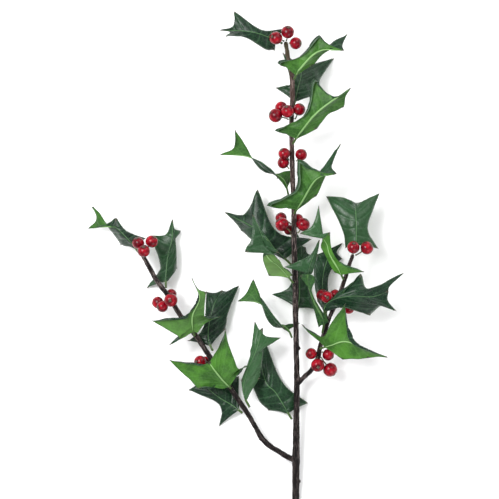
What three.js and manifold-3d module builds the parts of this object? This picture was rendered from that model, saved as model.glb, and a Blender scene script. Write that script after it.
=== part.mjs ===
// A cut sprig of horned holly, lying on its back on a flat surface.
// Millimetres. +Z is up from the surface, +Y runs along the main stem from the cut end towards
// the tip, +X is the sprig's right. The origin is on the surface, under the middle of the sprig.
import * as THREE from "three";
import { mergeVertices } from "three/addons/utils/BufferGeometryUtils.js";
import Module from "manifold-3d";

const wasm = await Module();
wasm.setup();

// ---- driving dimensions ----
const STEM_SIDES = 10;
const STEM_STEP = 11; // length of one piece of the faceted wood
const BUD_AROUND = 6;
const BUD_DOWN = 4;
const CURVE_TENSION = 0.5;

const LEAF_STALK = 0.9; // half width of a leaf stalk
const LEAF_STALK_END = 0.09; // share of the midrib that the stalk takes
const LEAF_THICK_STALK = 1.3;
const LEAF_THICK_RIB = 0.9;
const LEAF_THICK_EDGE = 0.6;
const LEAF_TIP_WIDTH = 0.35; // half width at the very tip
const WELD = 1e-4; // corners closer than this are one corner
const LEAF_SIDE_STEPS = 2; // facets from midrib to margin
const LEAF_FACET = 0.09; // longest facet, as a share of the midrib
const VEINS = [0.26, 0.74]; // where along the midrib the veins to the basal and far spines leave it
const NOTCH_DEPTH = 0.3; // how far a margin between two spines falls in towards the midrib
const SHOULDER_DEPTH = 0.12; // the same for the margin before the basal spine

const BERRY_AROUND = 9;
const BERRY_DOWN = 6;
const BERRY_STALK = 0.6; // radius
const BERRY_STALK_SIDES = 5;
const CALYX_RADIUS = 1.1;
const CALYX_HEIGHT = 0.5; // how far the calyx stands out of the berry
const CALYX_SIDES = 6;

const BARK = { color: 0x4b3c3c, roughness: 0.8, metalness: 0 };
const LEAF_GREEN = { color: 0x35633a, roughness: 0.4, metalness: 0 };
const BERRY_RED = { color: 0xb51f2f, roughness: 0.25, metalness: 0 };

const point = (p) => new THREE.Vector3(p[0], p[1], p[2]);
const mixed = (a, b, t) => a.clone().lerp(b, t);

// ---- wood: [x, y, z, radius] along the middle of each stem ----
const MAIN_STEM = [
  [0, 0, 2.9, 2.8], [0.3, 28, 5.9, 2.9], [0.4, 45, 7.7, 3.0], [0.6, 68, 10.1, 2.6],
  [1, 108, 14.3, 2.3], [0.6, 132, 16.8, 2.1], [0, 164, 20.2, 2.3], [-0.2, 182, 22.1, 2.4],
  [-1, 212, 25.2, 2.2], [-1.4, 240, 28.2, 2.0], [-2.6, 276, 32, 2.0], [-3.3, 310, 35.5, 1.9],
  [-2.6, 336, 38.2, 1.9], [-3, 350, 39.7, 1.9], [-5.8, 364, 41.2, 1.8], [-7.8, 376, 42.4, 1.7],
];
const LEFT_BRANCH = [
  [0, 44, 7.6, 2.2], [-6, 46.4, 8, 2.2], [-12.4, 50.4, 8.6, 2.1], [-20.4, 55.2, 9.2, 2.1],
  [-26.8, 61.6, 9.8, 2.3], [-31.6, 69.6, 10.6, 2.0], [-38, 80.8, 11.8, 2.0],
  [-51.6, 100.8, 14, 2.0], [-68.4, 126.4, 17, 2.1], [-78.8, 142.4, 18.8, 2.0],
  [-91.6, 159.2, 20.8, 2.0], [-102.8, 176.8, 22.8, 1.9], [-111.6, 188.8, 24.2, 1.9],
  [-116.4, 197.6, 25.2, 1.8], [-122, 207.2, 26.2, 1.7],
];
const RIGHT_BRANCH = [
  [1, 104, 13.8, 1.9], [4.4, 108, 14.5, 1.9], [8.4, 112, 15.3, 1.9], [13.2, 116.8, 16.2, 1.9],
  [18, 126.4, 18, 1.9], [19.6, 135.2, 19.8, 1.9], [23.6, 147.2, 22, 1.8],
  [26.8, 157.6, 24, 1.7], [33.2, 172, 26.8, 1.7], [38.8, 187.2, 29.6, 1.7],
  [42, 197.6, 31.6, 1.6], [45.2, 207, 33.4, 1.5],
];
const BUDS = [ // small knobs in the bark: [x, y, z, radius]
  [2.6, 133.5, 17.4, 1.3], [2.6, 27, 5.8, 1.5], [-0.6, 183.6, 23.6, 1.9], [-28, 61, 9.8, 1.4],
  [-7.6, 367.5, 41.6, 1.2],
];

// ---- leaves ----
// foot: where the leaf stalk meets the wood. rib: points that the midrib bends through. Each side
// has its basal spine, the waist between its two spines, and its far spine. Left and right are
// as seen on the shiny upper side with the tip away from the viewer. A shoulder is the margin
// before the basal spine and a notch the margin beyond the far one, each given where it isn't
// even. A waist, shoulder or notch is one point or several in a row. veins: where along the
// midrib the veins to the two spines of a side leave it, where that isn't as in VEINS.
const LEAVES = {
  main_leaf_1: {
    foot: [-10.6, 376.6, 42.4], rib: [[-20.4, 381.2, 45], [-36.4, 386, 45.5]], tip: [-60.4, 387.2, 38],
    left: { basal: [-16.8, 370.8, 36], waist: [[-25.4, 372.4, 38], [-40.6, 381, 40]],
      far: [-56, 382.2, 26], notch: [-52.4, 386, 38] },
    right: { basal: [-9, 388.4, 40], waist: [-26.8, 387.6, 44], far: [-48.8, 402.4, 40],
      notch: [-49.4, 390.8, 42] },
  },
  main_leaf_2: {
    foot: [-1.2, 348, 42.6], rib: [[3.6, 356.8, 50], [18, 370, 58]], tip: [38.4, 370.8, 62],
    left: { basal: [13.2, 359.6, 44], waist: [22, 368.8, 47], far: [41.2, 384.4, 48] },
    right: { basal: [-13.6, 361.6, 50], waist: [3.6, 365.6, 52], far: [18.8, 383.2, 56],
      notch: [26.4, 375.6, 60] },
  },
  main_leaf_3: {
    foot: [-1.6, 326.6, 33.6], rib: [[2, 341.6, 31], [4.4, 352.8, 23]], tip: [1.2, 361.6, 12],
    left: { basal: [-16, 341.4, 27], waist: [-4.4, 344.8, 30], far: [-10, 369.6, 16] },
    right: { basal: [21.2, 336.8, 16], waist: [19.6, 347.2, 16], far: [31, 365.4, 0.6],
      notch: [10.8, 355.6, 14] },
  },
  main_leaf_4: {
    foot: [-2.4, 296.5, 37.6], rib: [[4.4, 306.8, 47], [18, 322.4, 57]], tip: [43.6, 340.8, 60],
    left: { basal: [16.8, 308.8, 41], waist: [26.8, 321.2, 47], far: [38, 326.4, 47] },
    right: { basal: [-16, 307.6, 44], waist: [6.6, 317.2, 50], far: [14.8, 347.6, 54],
      notch: [28, 332.4, 58] },
  },
  main_leaf_5: {
    foot: [-5.4, 254.5, 29.8], rib: [[-9.6, 267.2, 33.6], [-23.6, 275.6, 40], [-37.2, 286, 44]],
    tip: [-60, 288, 46],
    left: { shoulder: [-6.4, 263, 27], basal: [-0.8, 275.2, 24.6], waist: [-26.8, 275.2, 36],
      far: [-48.4, 308, 50], notch: [-49, 294, 48] },
    right: { basal: [-14.8, 270.4, 40], waist: [-26.8, 281.6, 48], far: [-46, 289.6, 37] },
  },
  main_leaf_6: {
    foot: [-1.2, 241, 31.6], rib: [[5.2, 251.2, 42], [16.4, 268, 52]], tip: [32.4, 272.8, 51],
    left: { basal: [16.4, 255.2, 38], waist: [23.6, 271.2, 42], far: [35.6, 296.8, 43],
      notch: [29, 280, 46] },
    right: { basal: [-22.4, 248.4, 38], waist: [0.4, 260, 44], far: [2.4, 284, 50],
      notch: [18, 274.8, 54] },
  },
  main_leaf_7: {
    foot: [-3.6, 200.4, 20.4], rib: [[-16.4, 212.8, 18], [-28, 226.4, 18]], tip: [-56.4, 242, 8],
    left: { basal: [-22, 210.4, 6], waist: [-32.4, 217.6, 11], far: [-43.6, 227.2, 0.6] },
    right: { basal: [12.8, 220.8, 14], waist: [-15.2, 227.2, 17], far: [-30.2, 260.4, 14],
      notch: [-39.6, 240.4, 15] },
  },
  main_leaf_8: {
    foot: [-1.8, 185.6, 26.2], rib: [[-13.2, 199.2, 36], [-22.8, 207.2, 44], [-26.8, 223.2, 48]],
    tip: [-34.4, 240.4, 46],
    left: { basal: [-2, 192, 34], waist: [[-9, 197.6, 36], [-13.2, 204.6, 42], [-20, 209, 50]],
      far: [-40.4, 210.4, 50], notch: [-34.6, 222, 50] },
    right: { basal: [-21.4, 191.8, 31], waist: [[-24.4, 199.8, 36], [-25.6, 206.8, 44]],
      far: [-13.2, 209.6, 46], notch: [-25.6, 222, 48] },
  },
  main_leaf_9: {
    foot: [1.2, 161, 15.8], rib: [[3.2, 176, 12], [3.6, 196, 9]], tip: [8, 214, 2.6],
    left: { basal: [-18.8, 176.4, 10], waist: [-3.6, 184.8, 12], far: [1.2, 226.4, 6] },
    right: { basal: [17, 164.6, 7], waist: [10, 185, 7], far: [13, 208, 0.6] },
  },
  main_leaf_10: {
    foot: [-2.9, 142, 18.6], rib: [[-6.6, 149, 22], [-15.6, 154, 27], [-23.6, 164, 30], [-31, 170.4, 32]],
    tip: [-46, 171.2, 32],
    left: { shoulder: [-5, 148.6, 16], basal: [2.8, 153.6, 12.4], waist: [-18.8, 151.2, 22],
      far: [-34, 188.8, 34] },
    right: { basal: [-9.2, 148.4, 26], waist: [-17.2, 159.2, 32], far: [-35.6, 186, 26] },
  },
  main_leaf_11: {
    foot: [-3, 76.6, 7.4], rib: [[-15.6, 97.6, 8.4], [-23.6, 106.4, 8]], tip: [-29.2, 130.4, 1.2],
    left: { basal: [-22, 83.6, 0.6], waist: [-30, 92, 2.4], far: [-38, 112, 0.6] },
    right: { basal: [10, 89.6, 4], waist: [-10.4, 106.4, 7], far: [-24, 138.4, 4] },
  },
  right_leaf_1: {
    foot: [48.4, 211.4, 32.6], rib: [[48.4, 229.6, 31], [48, 242.4, 28]], tip: [48.4, 249.6, 12],
    left: { basal: [39.6, 213.6, 26], waist: [36.8, 228.8, 27], far: [24.4, 254.8, 20],
      notch: [40.4, 252.8, 23] },
    right: { basal: [66, 213.2, 22], waist: [58, 229.6, 27], far: [67.2, 257.6, 16],
      notch: [55, 251.2, 20] },
  },
  right_leaf_2: {
    foot: [38.2, 188.4, 33], rib: [[33.6, 197.6, 41], [27.4, 208, 46], [24, 218, 49], [16, 225, 52]],
    tip: [3.6, 225.2, 51],
    left: { basal: [54.4, 194.8, 40], waist: [[38, 200, 43], [30, 209, 46], [27.6, 218, 48]],
      far: [27.2, 226.4, 50], notch: [20.4, 221.6, 53] },
    right: { basal: [31.6, 194.4, 35], waist: [[26.8, 202.4, 38], [20.6, 214.6, 43], [21.4, 222.4, 48]],
      far: [18.4, 247.2, 53], notch: [13.2, 231.6, 52] },
  },
  right_leaf_3: {
    foot: [25.6, 155, 20.2], rib: [[22.6, 170, 15], [21.4, 186, 12.4], [24.2, 201, 9], [29, 211, 5]],
    tip: [37.2, 217.2, 2],
    left: { basal: [17.4, 171, 13.6], waist: [[15.4, 183, 13], [14.8, 197, 11.6]],
      far: [16.6, 208.4, 9], notch: [22.6, 210.6, 7] },
    right: { basal: [26.8, 172.6, 12.4], waist: [[26.2, 188.4, 10], [30, 198, 7]],
      far: [37.2, 205.2, 3], notch: [33, 210.4, 3.4] },
  },
  right_leaf_4: {
    foot: [24.2, 157.6, 27.2],
    rib: [[22.6, 166.4, 32], [30.8, 172.8, 38], [45.2, 175.2, 42], [61.2, 174.8, 40]],
    tip: [74, 179.2, 36],
    left: { shoulder: [40.4, 180, 40], basal: [52.4, 192.4, 36], waist: [58.8, 181.2, 40],
      far: [86.8, 194, 30], notch: [75.6, 183.6, 35] },
    right: { shoulder: [39.6, 166.4, 36], basal: [59.6, 160, 28], waist: [69.2, 167.2, 33],
      far: [80.4, 163.2, 28], notch: [74, 171.2, 33] },
  },
  right_leaf_5: {
    foot: [21.4, 145.8, 24.8], rib: [[22, 156, 31], [14.6, 171, 38], [10, 184, 44], [11, 198, 49]],
    tip: [18.8, 220, 50],
    left: { basal: [26, 154.4, 28], waist: [[16.8, 169.6, 36], [12.8, 180, 42], [14.4, 191.2, 48]],
      far: [-9.2, 198.4, 49], notch: [9.6, 205.6, 50] },
    right: { basal: [18.6, 150.4, 27], waist: [[13.4, 170, 37], [10.6, 181.6, 42]],
      far: [3.8, 191.2, 44], notch: [[12.8, 192.8, 45], [16.4, 204, 47]] },
  },
  right_leaf_6: {
    foot: [19.4, 133, 23.4], rib: [[27.6, 136, 30], [39.6, 139.2, 36], [53.2, 134.4, 38]],
    tip: [73.2, 126.4, 34],
    left: { basal: [37.6, 124.8, 26], waist: [45.2, 125.2, 30], far: [58, 126, 27] },
    right: { veins: [0.14, 0.34], basal: [4.8, 152.8, 34],
      waist: [[14.8, 145.8, 34], [22.8, 143.4, 35], [28, 153.4, 40]],
      far: [39.6, 169.2, 48], notch: [[40.6, 152, 43], [42.6, 140.4, 40], [54, 133.4, 39]] },
  },
  left_leaf_1: {
    foot: [-124.8, 209.4, 26.4], rib: [[-131.6, 218, 27], [-142, 228.8, 26], [-147.6, 230.6, 22]],
    tip: [-165.6, 229.2, 6],
    left: { basal: [-140.4, 215.6, 10], waist: [-146.8, 226.4, 14], far: [-162, 247.2, 22],
      notch: [-158.4, 237, 15] },
    right: { basal: [-119.6, 221.6, 20], waist: [-134, 226.4, 24], far: [-143.2, 237.2, 23],
      notch: [-151, 231.8, 20] },
  },
  left_leaf_2: {
    foot: [-103.6, 181.6, 19.4], rib: [[-103.6, 192, 18], [-102, 208, 16], [-98.8, 220, 13]],
    tip: [-98.4, 236.4, 8],
    left: { basal: [-119.2, 181.6, 0.6], waist: [[-109.4, 189.6, 9], [-108.8, 202, 12]],
      far: [-116, 223, 6], notch: [-104, 224, 11] },
    right: { shoulder: [-100.4, 188.6, 15], basal: [-94.4, 197.6, 9],
      waist: [[-95.2, 212, 11], [-95.4, 222, 7]], far: [-91.6, 227.6, 0.6], notch: [-96.6, 229, 8] },
  },
  left_leaf_3: {
    foot: [-80.6, 143.4, 22.4], rib: [[-82.4, 150.4, 30], [-82, 160.8, 38], [-76.4, 174.4, 43]],
    tip: [-82.8, 189.6, 44],
    left: { shoulder: [[-78, 146.4, 28], [-72.8, 152.6, 33]], basal: [-59.6, 159.2, 33],
      waist: [[-71, 157.8, 36], [-73, 164, 39]], far: [-71.4, 178.6, 44], notch: [-78.4, 181.2, 44] },
    right: { veins: [0.16, 0.3], basal: [-101.2, 136, 30], waist: [[-92.8, 141.6, 31], [-101, 147.6, 32]],
      far: [-114.8, 155.8, 34], notch: [[-90, 156.8, 37], [-84.4, 162, 40], [-76.8, 173.6, 43]] },
  },
  left_leaf_4: {
    foot: [-66.2, 131.4, 14.6], rib: [[-69.6, 140, 13.6], [-69.2, 152, 14], [-65.2, 168, 12]],
    tip: [-58.8, 179.6, 4],
    left: { basal: [-86.4, 139.6, 8], waist: [[-76.6, 144, 9], [-73, 154, 12]], far: [-71.6, 179.2, 5] },
    right: { basal: [-55.6, 148.8, 8], waist: [-53.2, 163.2, 10], far: [-44.8, 184, 3] },
  },
  left_leaf_5: {
    foot: [-51.6, 101.4, 17.6], rib: [[-58.8, 108.8, 28], [-65.2, 116.8, 36]], tip: [-69, 122.4, 37],
    left: { shoulder: [[-48.4, 109.6, 24], [-44.8, 114.8, 28]], basal: [-38.6, 120, 29],
      waist: [[-45.6, 117.4, 30], [-49.2, 125.6, 33], [-54, 138.4, 37]], far: [-56.2, 148.4, 40],
      notch: [[-59.4, 138.4, 40], [-65.6, 127.6, 39]] },
    right: { shoulder: [[-59, 101.4, 22], [-70, 103, 26]], basal: [-78, 101.2, 26],
      waist: [[-84.4, 108.6, 29], [-91, 114.4, 31]], far: [-100.8, 124.4, 34],
      notch: [[-88.4, 122.6, 36], [-76.4, 120, 37]] },
  },
  left_leaf_6: {
    foot: [-42.4, 81.6, 9.4], rib: [[-50.8, 88, 8.4], [-62.8, 95.2, 8]], tip: [-78, 108, 3],
    left: { basal: [-61.2, 70.8, 0.6], waist: [-60.8, 88, 5], far: [-86, 100, 0.6] },
    right: { basal: [-45.2, 111.2, 4], waist: [-58, 110, 6], far: [-72.4, 119, 2] },
  },
  left_leaf_7: {
    foot: [-36.8, 86.4, 13.8], rib: [[-42, 98.4, 18], [-38.8, 114.4, 24], [-31.6, 132, 30]],
    tip: [-26.4, 149.6, 32],
    left: { basal: [-43.6, 108, 20], waist: [-35.6, 130.4, 27], far: [-32.8, 154.8, 25] },
    right: { basal: [-28.4, 109.6, 18], waist: [[-26.6, 124, 24.4], [-24.6, 138.4, 27]],
      far: [-11.8, 141.9, 24], notch: [[-21, 142.6, 28], [-25.6, 144.8, 30]] },
  },
};

// ---- berries ----
// at: the middle. foot: where the stalk meets the wood. eye: the way that the calyx faces, where
// that isn't straight away from the stalk.
const BERRIES = {
  top_berry_1: { at: [-15.8, 380.8, 51.5], radius: 5, foot: [-9.4, 378.4, 43.6] },
  top_berry_2: { at: [-6.4, 385.6, 50], radius: 5, foot: [-7.4, 378.8, 44] },
  top_berry_3: { at: [0, 376.8, 46], radius: 4.7, foot: [-5.2, 377, 43] },
  main_berry_1: { at: [-11.6, 325.6, 33], radius: 4.8, foot: [-5.8, 318.8, 35.6] },
  main_berry_2: { at: [-16, 319.2, 41], radius: 5.4, foot: [-5.8, 316, 37.4] },
  main_berry_3: { at: [-6.4, 322.4, 45], radius: 5, foot: [-4.4, 314.6, 39] },
  main_berry_4: { at: [2.8, 324, 40.8], radius: 4.8, foot: [-0.6, 316.4, 37.2] },
  main_berry_5: { at: [-9.2, 288.8, 38], radius: 4.6, foot: [-5.4, 283.6, 34.6] },
  main_berry_6: { at: [-9.8, 281.6, 31.5], radius: 4.6, foot: [-5.4, 276.6, 31.6] },
  main_berry_7: { at: [4.4, 288, 34], radius: 4.6, foot: [0.2, 282.8, 33.2] },
  main_berry_8: { at: [-10.8, 232.4, 31], radius: 5.3, foot: [-3.8, 226, 28] },
  main_berry_9: { at: [-11.6, 237.6, 22], radius: 4.4, foot: [-3.6, 232.6, 25.6] },
  main_berry_10: { at: [6, 232.4, 30], radius: 5.2, foot: [1.8, 225.6, 27.4] },
  main_berry_11: { at: [2, 236.8, 21], radius: 4, foot: [0.8, 230.4, 25.2] },
  main_berry_12: { at: [-5.2, 228, 21], radius: 4, foot: [-2.8, 221.6, 24] },
  right_berry_1: { at: [46, 214, 41], radius: 4.8, foot: [45.6, 208.6, 35.6] },
  right_berry_2: { at: [56.8, 213.6, 39], radius: 5, foot: [47.8, 207.8, 34] },
  right_berry_3: { at: [21.2, 176, 21.4], radius: 4.6, foot: [29.4, 169.4, 25.6] },
  right_berry_4: { at: [25, 174.4, 31.4], radius: 4.6, foot: [31.2, 172.8, 28.4], eye: [0.1, -0.1, 1] },
  right_berry_5: { at: [31.6, 176, 21.3], radius: 4.4, foot: [31.6, 169, 23] },
  right_berry_6: { at: [42.4, 165.6, 25.4], radius: 4.5, foot: [33.2, 167, 26.4] },
  right_berry_7: { at: [12.4, 129.2, 22.2], radius: 4.4, foot: [15.2, 127.8, 20.7] },
  right_berry_8: { at: [26, 128.4, 21], radius: 4.6, foot: [21.2, 130.8, 19.8] },
  right_berry_9: { at: [17.6, 120, 24.4], radius: 5.2, foot: [17.6, 127.2, 21.3], eye: [0.05, -0.35, 1] },
  right_berry_10: { at: [27.6, 116.4, 20], radius: 5.5, foot: [20.4, 126.6, 18.8] },
  left_berry_1: { at: [-125.6, 217.6, 33], radius: 4.6, foot: [-123.4, 209.4, 28.6] },
  left_berry_2: { at: [-114.8, 218.8, 34], radius: 4.8, foot: [-121.2, 209.6, 27.6] },
  left_berry_3: { at: [-121.2, 211.2, 39], radius: 4.8, foot: [-120.8, 206.6, 28.8], eye: [0, 0.75, 0.8] },
  left_berry_4: { at: [-110, 170, 19.8], radius: 4.6, foot: [-102.6, 171.4, 21.2] },
  left_berry_5: { at: [-106.4, 166.8, 28], radius: 4.4, foot: [-99.4, 168, 23.6] },
  left_berry_6: { at: [-99.6, 172, 34], radius: 5.2, foot: [-99.2, 173.6, 25], eye: [-0.1, -0.1, 1] },
  left_berry_7: { at: [-99.2, 176.8, 16.8], radius: 4, foot: [-99, 172.4, 19] },
  left_berry_8: { at: [-76.2, 122.8, 27.5], radius: 4.8, foot: [-68.6, 122.6, 18.8] },
  left_berry_9: { at: [-72.4, 122.8, 12.6], radius: 4, foot: [-68.4, 121.4, 14.8] },
};

// ---- solids ----
function closedMesh(vertices, triangles) {
  const geometry = new THREE.BufferGeometry();
  const places = vertices.flatMap((v) => v.toArray());
  geometry.setAttribute("position", new THREE.Float32BufferAttribute(places, 3));
  geometry.setIndex(triangles.flat());
  return geometry;
}

function solid(geometry) {
  const bare = geometry.clone();
  bare.deleteAttribute("normal");
  bare.deleteAttribute("uv");
  const merged = mergeVertices(bare, WELD);
  return new wasm.Manifold(new wasm.Mesh({
    numProp: 3,
    vertProperties: merged.attributes.position.array,
    triVerts: new Uint32Array(merged.index.array),
  }));
}

function geometryOf(whole) {
  const mesh = whole.getMesh();
  const geometry = new THREE.BufferGeometry();
  geometry.setAttribute("position", new THREE.BufferAttribute(mesh.vertProperties, 3));
  geometry.setIndex(new THREE.BufferAttribute(mesh.triVerts, 1));
  return geometry;
}

function joined(geometries) {
  return geometryOf(geometries.map((g) => solid(g)).reduce((a, b) => a.add(b)));
}

// A round rod along a curve whose radius changes, closed at both ends.
function rod(curve, radiusAt, steps, sides) {
  const frames = curve.computeFrenetFrames(steps, false);
  const vertices = [];
  const triangles = [];
  for (let i = 0; i <= steps; i += 1) {
    const middle = curve.getPointAt(i / steps);
    const radius = radiusAt(i / steps);
    for (let k = 0; k < sides; k += 1) {
      const turn = (2 * Math.PI * k) / sides;
      vertices.push(middle.clone()
        .addScaledVector(frames.normals[i], radius * Math.cos(turn))
        .addScaledVector(frames.binormals[i], radius * Math.sin(turn)));
    }
  }
  for (let i = 0; i < steps; i += 1) {
    for (let k = 0; k < sides; k += 1) {
      const a = i * sides + k;
      const b = i * sides + ((k + 1) % sides);
      triangles.push([a, b, b + sides], [a, b + sides, a + sides]);
    }
  }
  const last = steps * sides;
  for (let k = 1; k < sides - 1; k += 1) {
    triangles.push([0, k + 1, k], [last, last + k, last + k + 1]);
  }
  return closedMesh(vertices, triangles);
}

const through = (points) => new THREE.CatmullRomCurve3(points, false, "catmullrom", CURVE_TENSION);

function branch(route) {
  const curve = through(route.map(point));
  const steps = Math.round(curve.getLength() / STEM_STEP);
  const radiusAt = (share) => {
    const t = curve.getUtoTmapping(share) * (route.length - 1);
    const k = Math.min(Math.floor(t), route.length - 2);
    return route[k][3] + (route[k + 1][3] - route[k][3]) * (t - k);
  };
  return rod(curve, radiusAt, steps, STEM_SIDES);
}

function bud([x, y, z, radius]) {
  return new THREE.SphereGeometry(radius, BUD_AROUND, BUD_DOWN).translate(x, y, z);
}

// A round berry with its calyx, and a straight stalk from the wood into its middle.
function berry({ at, radius, foot, eye }) {
  const middle = point(at);
  const base = point(foot);
  const inward = middle.clone().sub(base).normalize();
  const facing = eye ? point(eye).normalize() : inward;
  const turn = new THREE.Quaternion().setFromUnitVectors(new THREE.Vector3(0, 1, 0), facing);
  const flesh = new THREE.SphereGeometry(radius, BERRY_AROUND, BERRY_DOWN);
  const calyx = new THREE.CylinderGeometry(
    CALYX_RADIUS,
    CALYX_RADIUS,
    2 * CALYX_HEIGHT,
    CALYX_SIDES,
  );
  calyx.translate(0, radius, 0);
  const whole = [flesh, calyx].map((g) => g.applyQuaternion(turn).translate(...at));
  const stalkCurve = new THREE.LineCurve3(base, middle);
  whole.push(rod(stalkCurve, () => BERRY_STALK, 1, BERRY_STALK_SIDES));
  return joined(whole);
}

// One side of a leaf: a function from the share of the midrib to the margin level with it.
function marginOf(side, ribCurve, stalkEnd, tipEnd) {
  const basal = point(side.basal);
  const far = point(side.far);
  const [atBasal, atFar] = side.veins ?? VEINS;
  const stops = [LEAF_STALK_END, atBasal, atFar, 1];
  const given = (between) => (Array.isArray(between[0]) ? between : [between]).map(point);
  const fallen = (a, b, share, depth) => [mixed(mixed(a, b, 0.5), ribCurve.getPointAt(share), depth)];
  const shoulder = side.shoulder
    ? given(side.shoulder)
    : fallen(stalkEnd, basal, (LEAF_STALK_END + atBasal) / 2, SHOULDER_DEPTH);
  const notch = side.notch ? given(side.notch) : fallen(far, tipEnd, (atFar + 1) / 2, NOTCH_DEPTH);
  const pieces = [
    through([stalkEnd, ...shoulder, basal]),
    through([basal, ...given(side.waist), far]),
    through([far, ...notch, tipEnd]),
  ];
  return {
    stops,
    at: (share) => {
      const passed = stops.filter((stop) => share >= stop).length;
      const k = Math.min(passed, pieces.length) - 1;
      return pieces[k].getPoint((share - stops[k]) / (stops[k + 1] - stops[k]));
    },
  };
}

// The leaf's rows from foot to tip: the midrib's place, the two margins, and whether it is stalk.
function leafRows(leaf) {
  const curve = through([leaf.foot, ...leaf.rib, leaf.tip].map(point));
  const outAt = (share, from, to, width) => {
    const along = curve.getTangentAt(share);
    const out = point(to).sub(point(from));
    return out.addScaledVector(along, -out.dot(along)).setLength(width);
  };
  const rows = [];
  for (const share of [0, LEAF_STALK_END]) {
    const rib = curve.getPointAt(share);
    const out = outAt(share, leaf.left.basal, leaf.right.basal, LEAF_STALK);
    rows.push({ rib, left: rib.clone().sub(out), right: rib.clone().add(out), stalk: true });
  }
  const end = curve.getPointAt(1);
  const endOut = outAt(1, leaf.left.far, leaf.right.far, LEAF_TIP_WIDTH);
  const left = marginOf(leaf.left, curve, rows[1].left, end.clone().sub(endOut));
  const right = marginOf(leaf.right, curve, rows[1].right, end.clone().add(endOut));
  const stops = [...new Set([...left.stops, ...right.stops])].sort((a, b) => a - b);
  for (let k = 1; k < stops.length; k += 1) {
    const steps = Math.ceil((stops[k] - stops[k - 1]) / LEAF_FACET);
    for (let i = 1; i <= steps; i += 1) {
      const share = stops[k - 1] + ((stops[k] - stops[k - 1]) * i) / steps;
      const rib = curve.getPointAt(share);
      rows.push({ rib, left: left.at(share), right: right.at(share), stalk: false });
    }
  }
  return rows;
}

// Stalk and blade as one closed skin: facets above, the same below, and a wall round the margin.
function leafSolid(leaf) {
  const rows = leafRows(leaf);
  const wide = 2 * LEAF_SIDE_STEPS + 1;
  const middles = [];
  const thick = [];
  for (const row of rows) {
    for (let j = -LEAF_SIDE_STEPS; j <= LEAF_SIDE_STEPS; j += 1) {
      const out = Math.abs(j) / LEAF_SIDE_STEPS;
      middles.push(mixed(row.rib, j < 0 ? row.left : row.right, out));
      const blade = LEAF_THICK_RIB + (LEAF_THICK_EDGE - LEAF_THICK_RIB) * out;
      thick.push(row.stalk ? LEAF_THICK_STALK : blade);
    }
  }
  const facets = [];
  for (let i = 0; i < rows.length - 1; i += 1) {
    for (let j = 0; j < wide - 1; j += 1) {
      const a = i * wide + j;
      facets.push([a, a + 1, a + wide + 1], [a, a + wide + 1, a + wide]);
    }
  }
  const up = middles.map(() => new THREE.Vector3());
  for (const facet of facets) {
    const [a, b, c] = facet.map((k) => middles[k]);
    const square = b.clone().sub(a).cross(c.clone().sub(a));
    facet.forEach((k) => up[k].add(square));
  }
  up.forEach((v) => v.normalize());
  const below = middles.length;
  const skin = (side) =>
    middles.map((middle, k) => middle.clone().addScaledVector(up[k], (side * thick[k]) / 2));
  const vertices = [...skin(1), ...skin(-1)];
  const triangles = [];
  for (const [a, b, c] of facets) {
    triangles.push([a, b, c], [c + below, b + below, a + below]);
  }
  const wall = (a, b) => triangles.push([b, a, a + below], [b, a + below, b + below]);
  const last = (rows.length - 1) * wide;
  for (let j = 0; j < wide - 1; j += 1) {
    wall(j, j + 1);
    wall(last + j + 1, last + j);
  }
  for (let i = 0; i < rows.length - 1; i += 1) {
    wall((i + 1) * wide, i * wide);
    wall(i * wide + wide - 1, (i + 1) * wide + wide - 1);
  }
  return closedMesh(vertices, triangles);
}

const sprig = new THREE.Group();

function add(name, geometry, look) {
  const mesh = new THREE.Mesh(geometry, new THREE.MeshStandardMaterial(look));
  mesh.name = name;
  sprig.add(mesh);
}

const wood = [MAIN_STEM, LEFT_BRANCH, RIGHT_BRANCH].map(branch);
add("stem", joined([...wood, ...BUDS.map(bud)]), BARK);
for (const [name, leaf] of Object.entries(LEAVES)) {
  add(name, leafSolid(leaf), LEAF_GREEN);
}
for (const [name, fruit] of Object.entries(BERRIES)) {
  add(name, berry(fruit), BERRY_RED);
}

const box = new THREE.Box3().setFromObject(sprig, true);
sprig.position.set(-(box.min.x + box.max.x) / 2, -(box.min.y + box.max.y) / 2, -box.min.z);

export default sprig;
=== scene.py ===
"""A cut sprig of horned holly, lying on a pale table with its front up.

Every CAD piece gets a fine surface of its own here: leaves with a raised midrib, side veins, thin
margins and needle spines, berries with a calyx and a stalk, and bark with buds and furrows.
"""
import math

import bpy
import numpy as np
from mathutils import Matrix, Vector, noise


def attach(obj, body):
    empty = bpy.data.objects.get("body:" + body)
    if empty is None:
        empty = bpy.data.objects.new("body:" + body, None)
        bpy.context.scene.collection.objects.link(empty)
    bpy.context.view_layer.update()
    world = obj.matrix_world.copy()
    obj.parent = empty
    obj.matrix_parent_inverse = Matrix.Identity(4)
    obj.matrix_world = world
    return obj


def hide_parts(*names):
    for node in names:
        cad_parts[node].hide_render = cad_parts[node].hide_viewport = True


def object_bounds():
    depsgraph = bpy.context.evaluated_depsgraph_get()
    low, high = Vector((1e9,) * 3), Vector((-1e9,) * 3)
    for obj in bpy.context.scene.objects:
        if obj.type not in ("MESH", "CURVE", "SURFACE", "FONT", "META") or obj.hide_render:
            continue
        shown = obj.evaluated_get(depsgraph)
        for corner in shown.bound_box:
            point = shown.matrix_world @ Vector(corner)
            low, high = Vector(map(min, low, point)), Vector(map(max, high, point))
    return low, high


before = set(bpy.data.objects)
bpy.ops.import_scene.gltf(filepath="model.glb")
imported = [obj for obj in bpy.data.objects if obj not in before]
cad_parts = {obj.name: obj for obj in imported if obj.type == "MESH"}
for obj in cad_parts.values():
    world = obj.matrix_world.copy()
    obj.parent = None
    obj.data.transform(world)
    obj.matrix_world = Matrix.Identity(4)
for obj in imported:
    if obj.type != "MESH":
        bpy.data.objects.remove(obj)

cad_low, cad_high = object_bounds()

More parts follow.
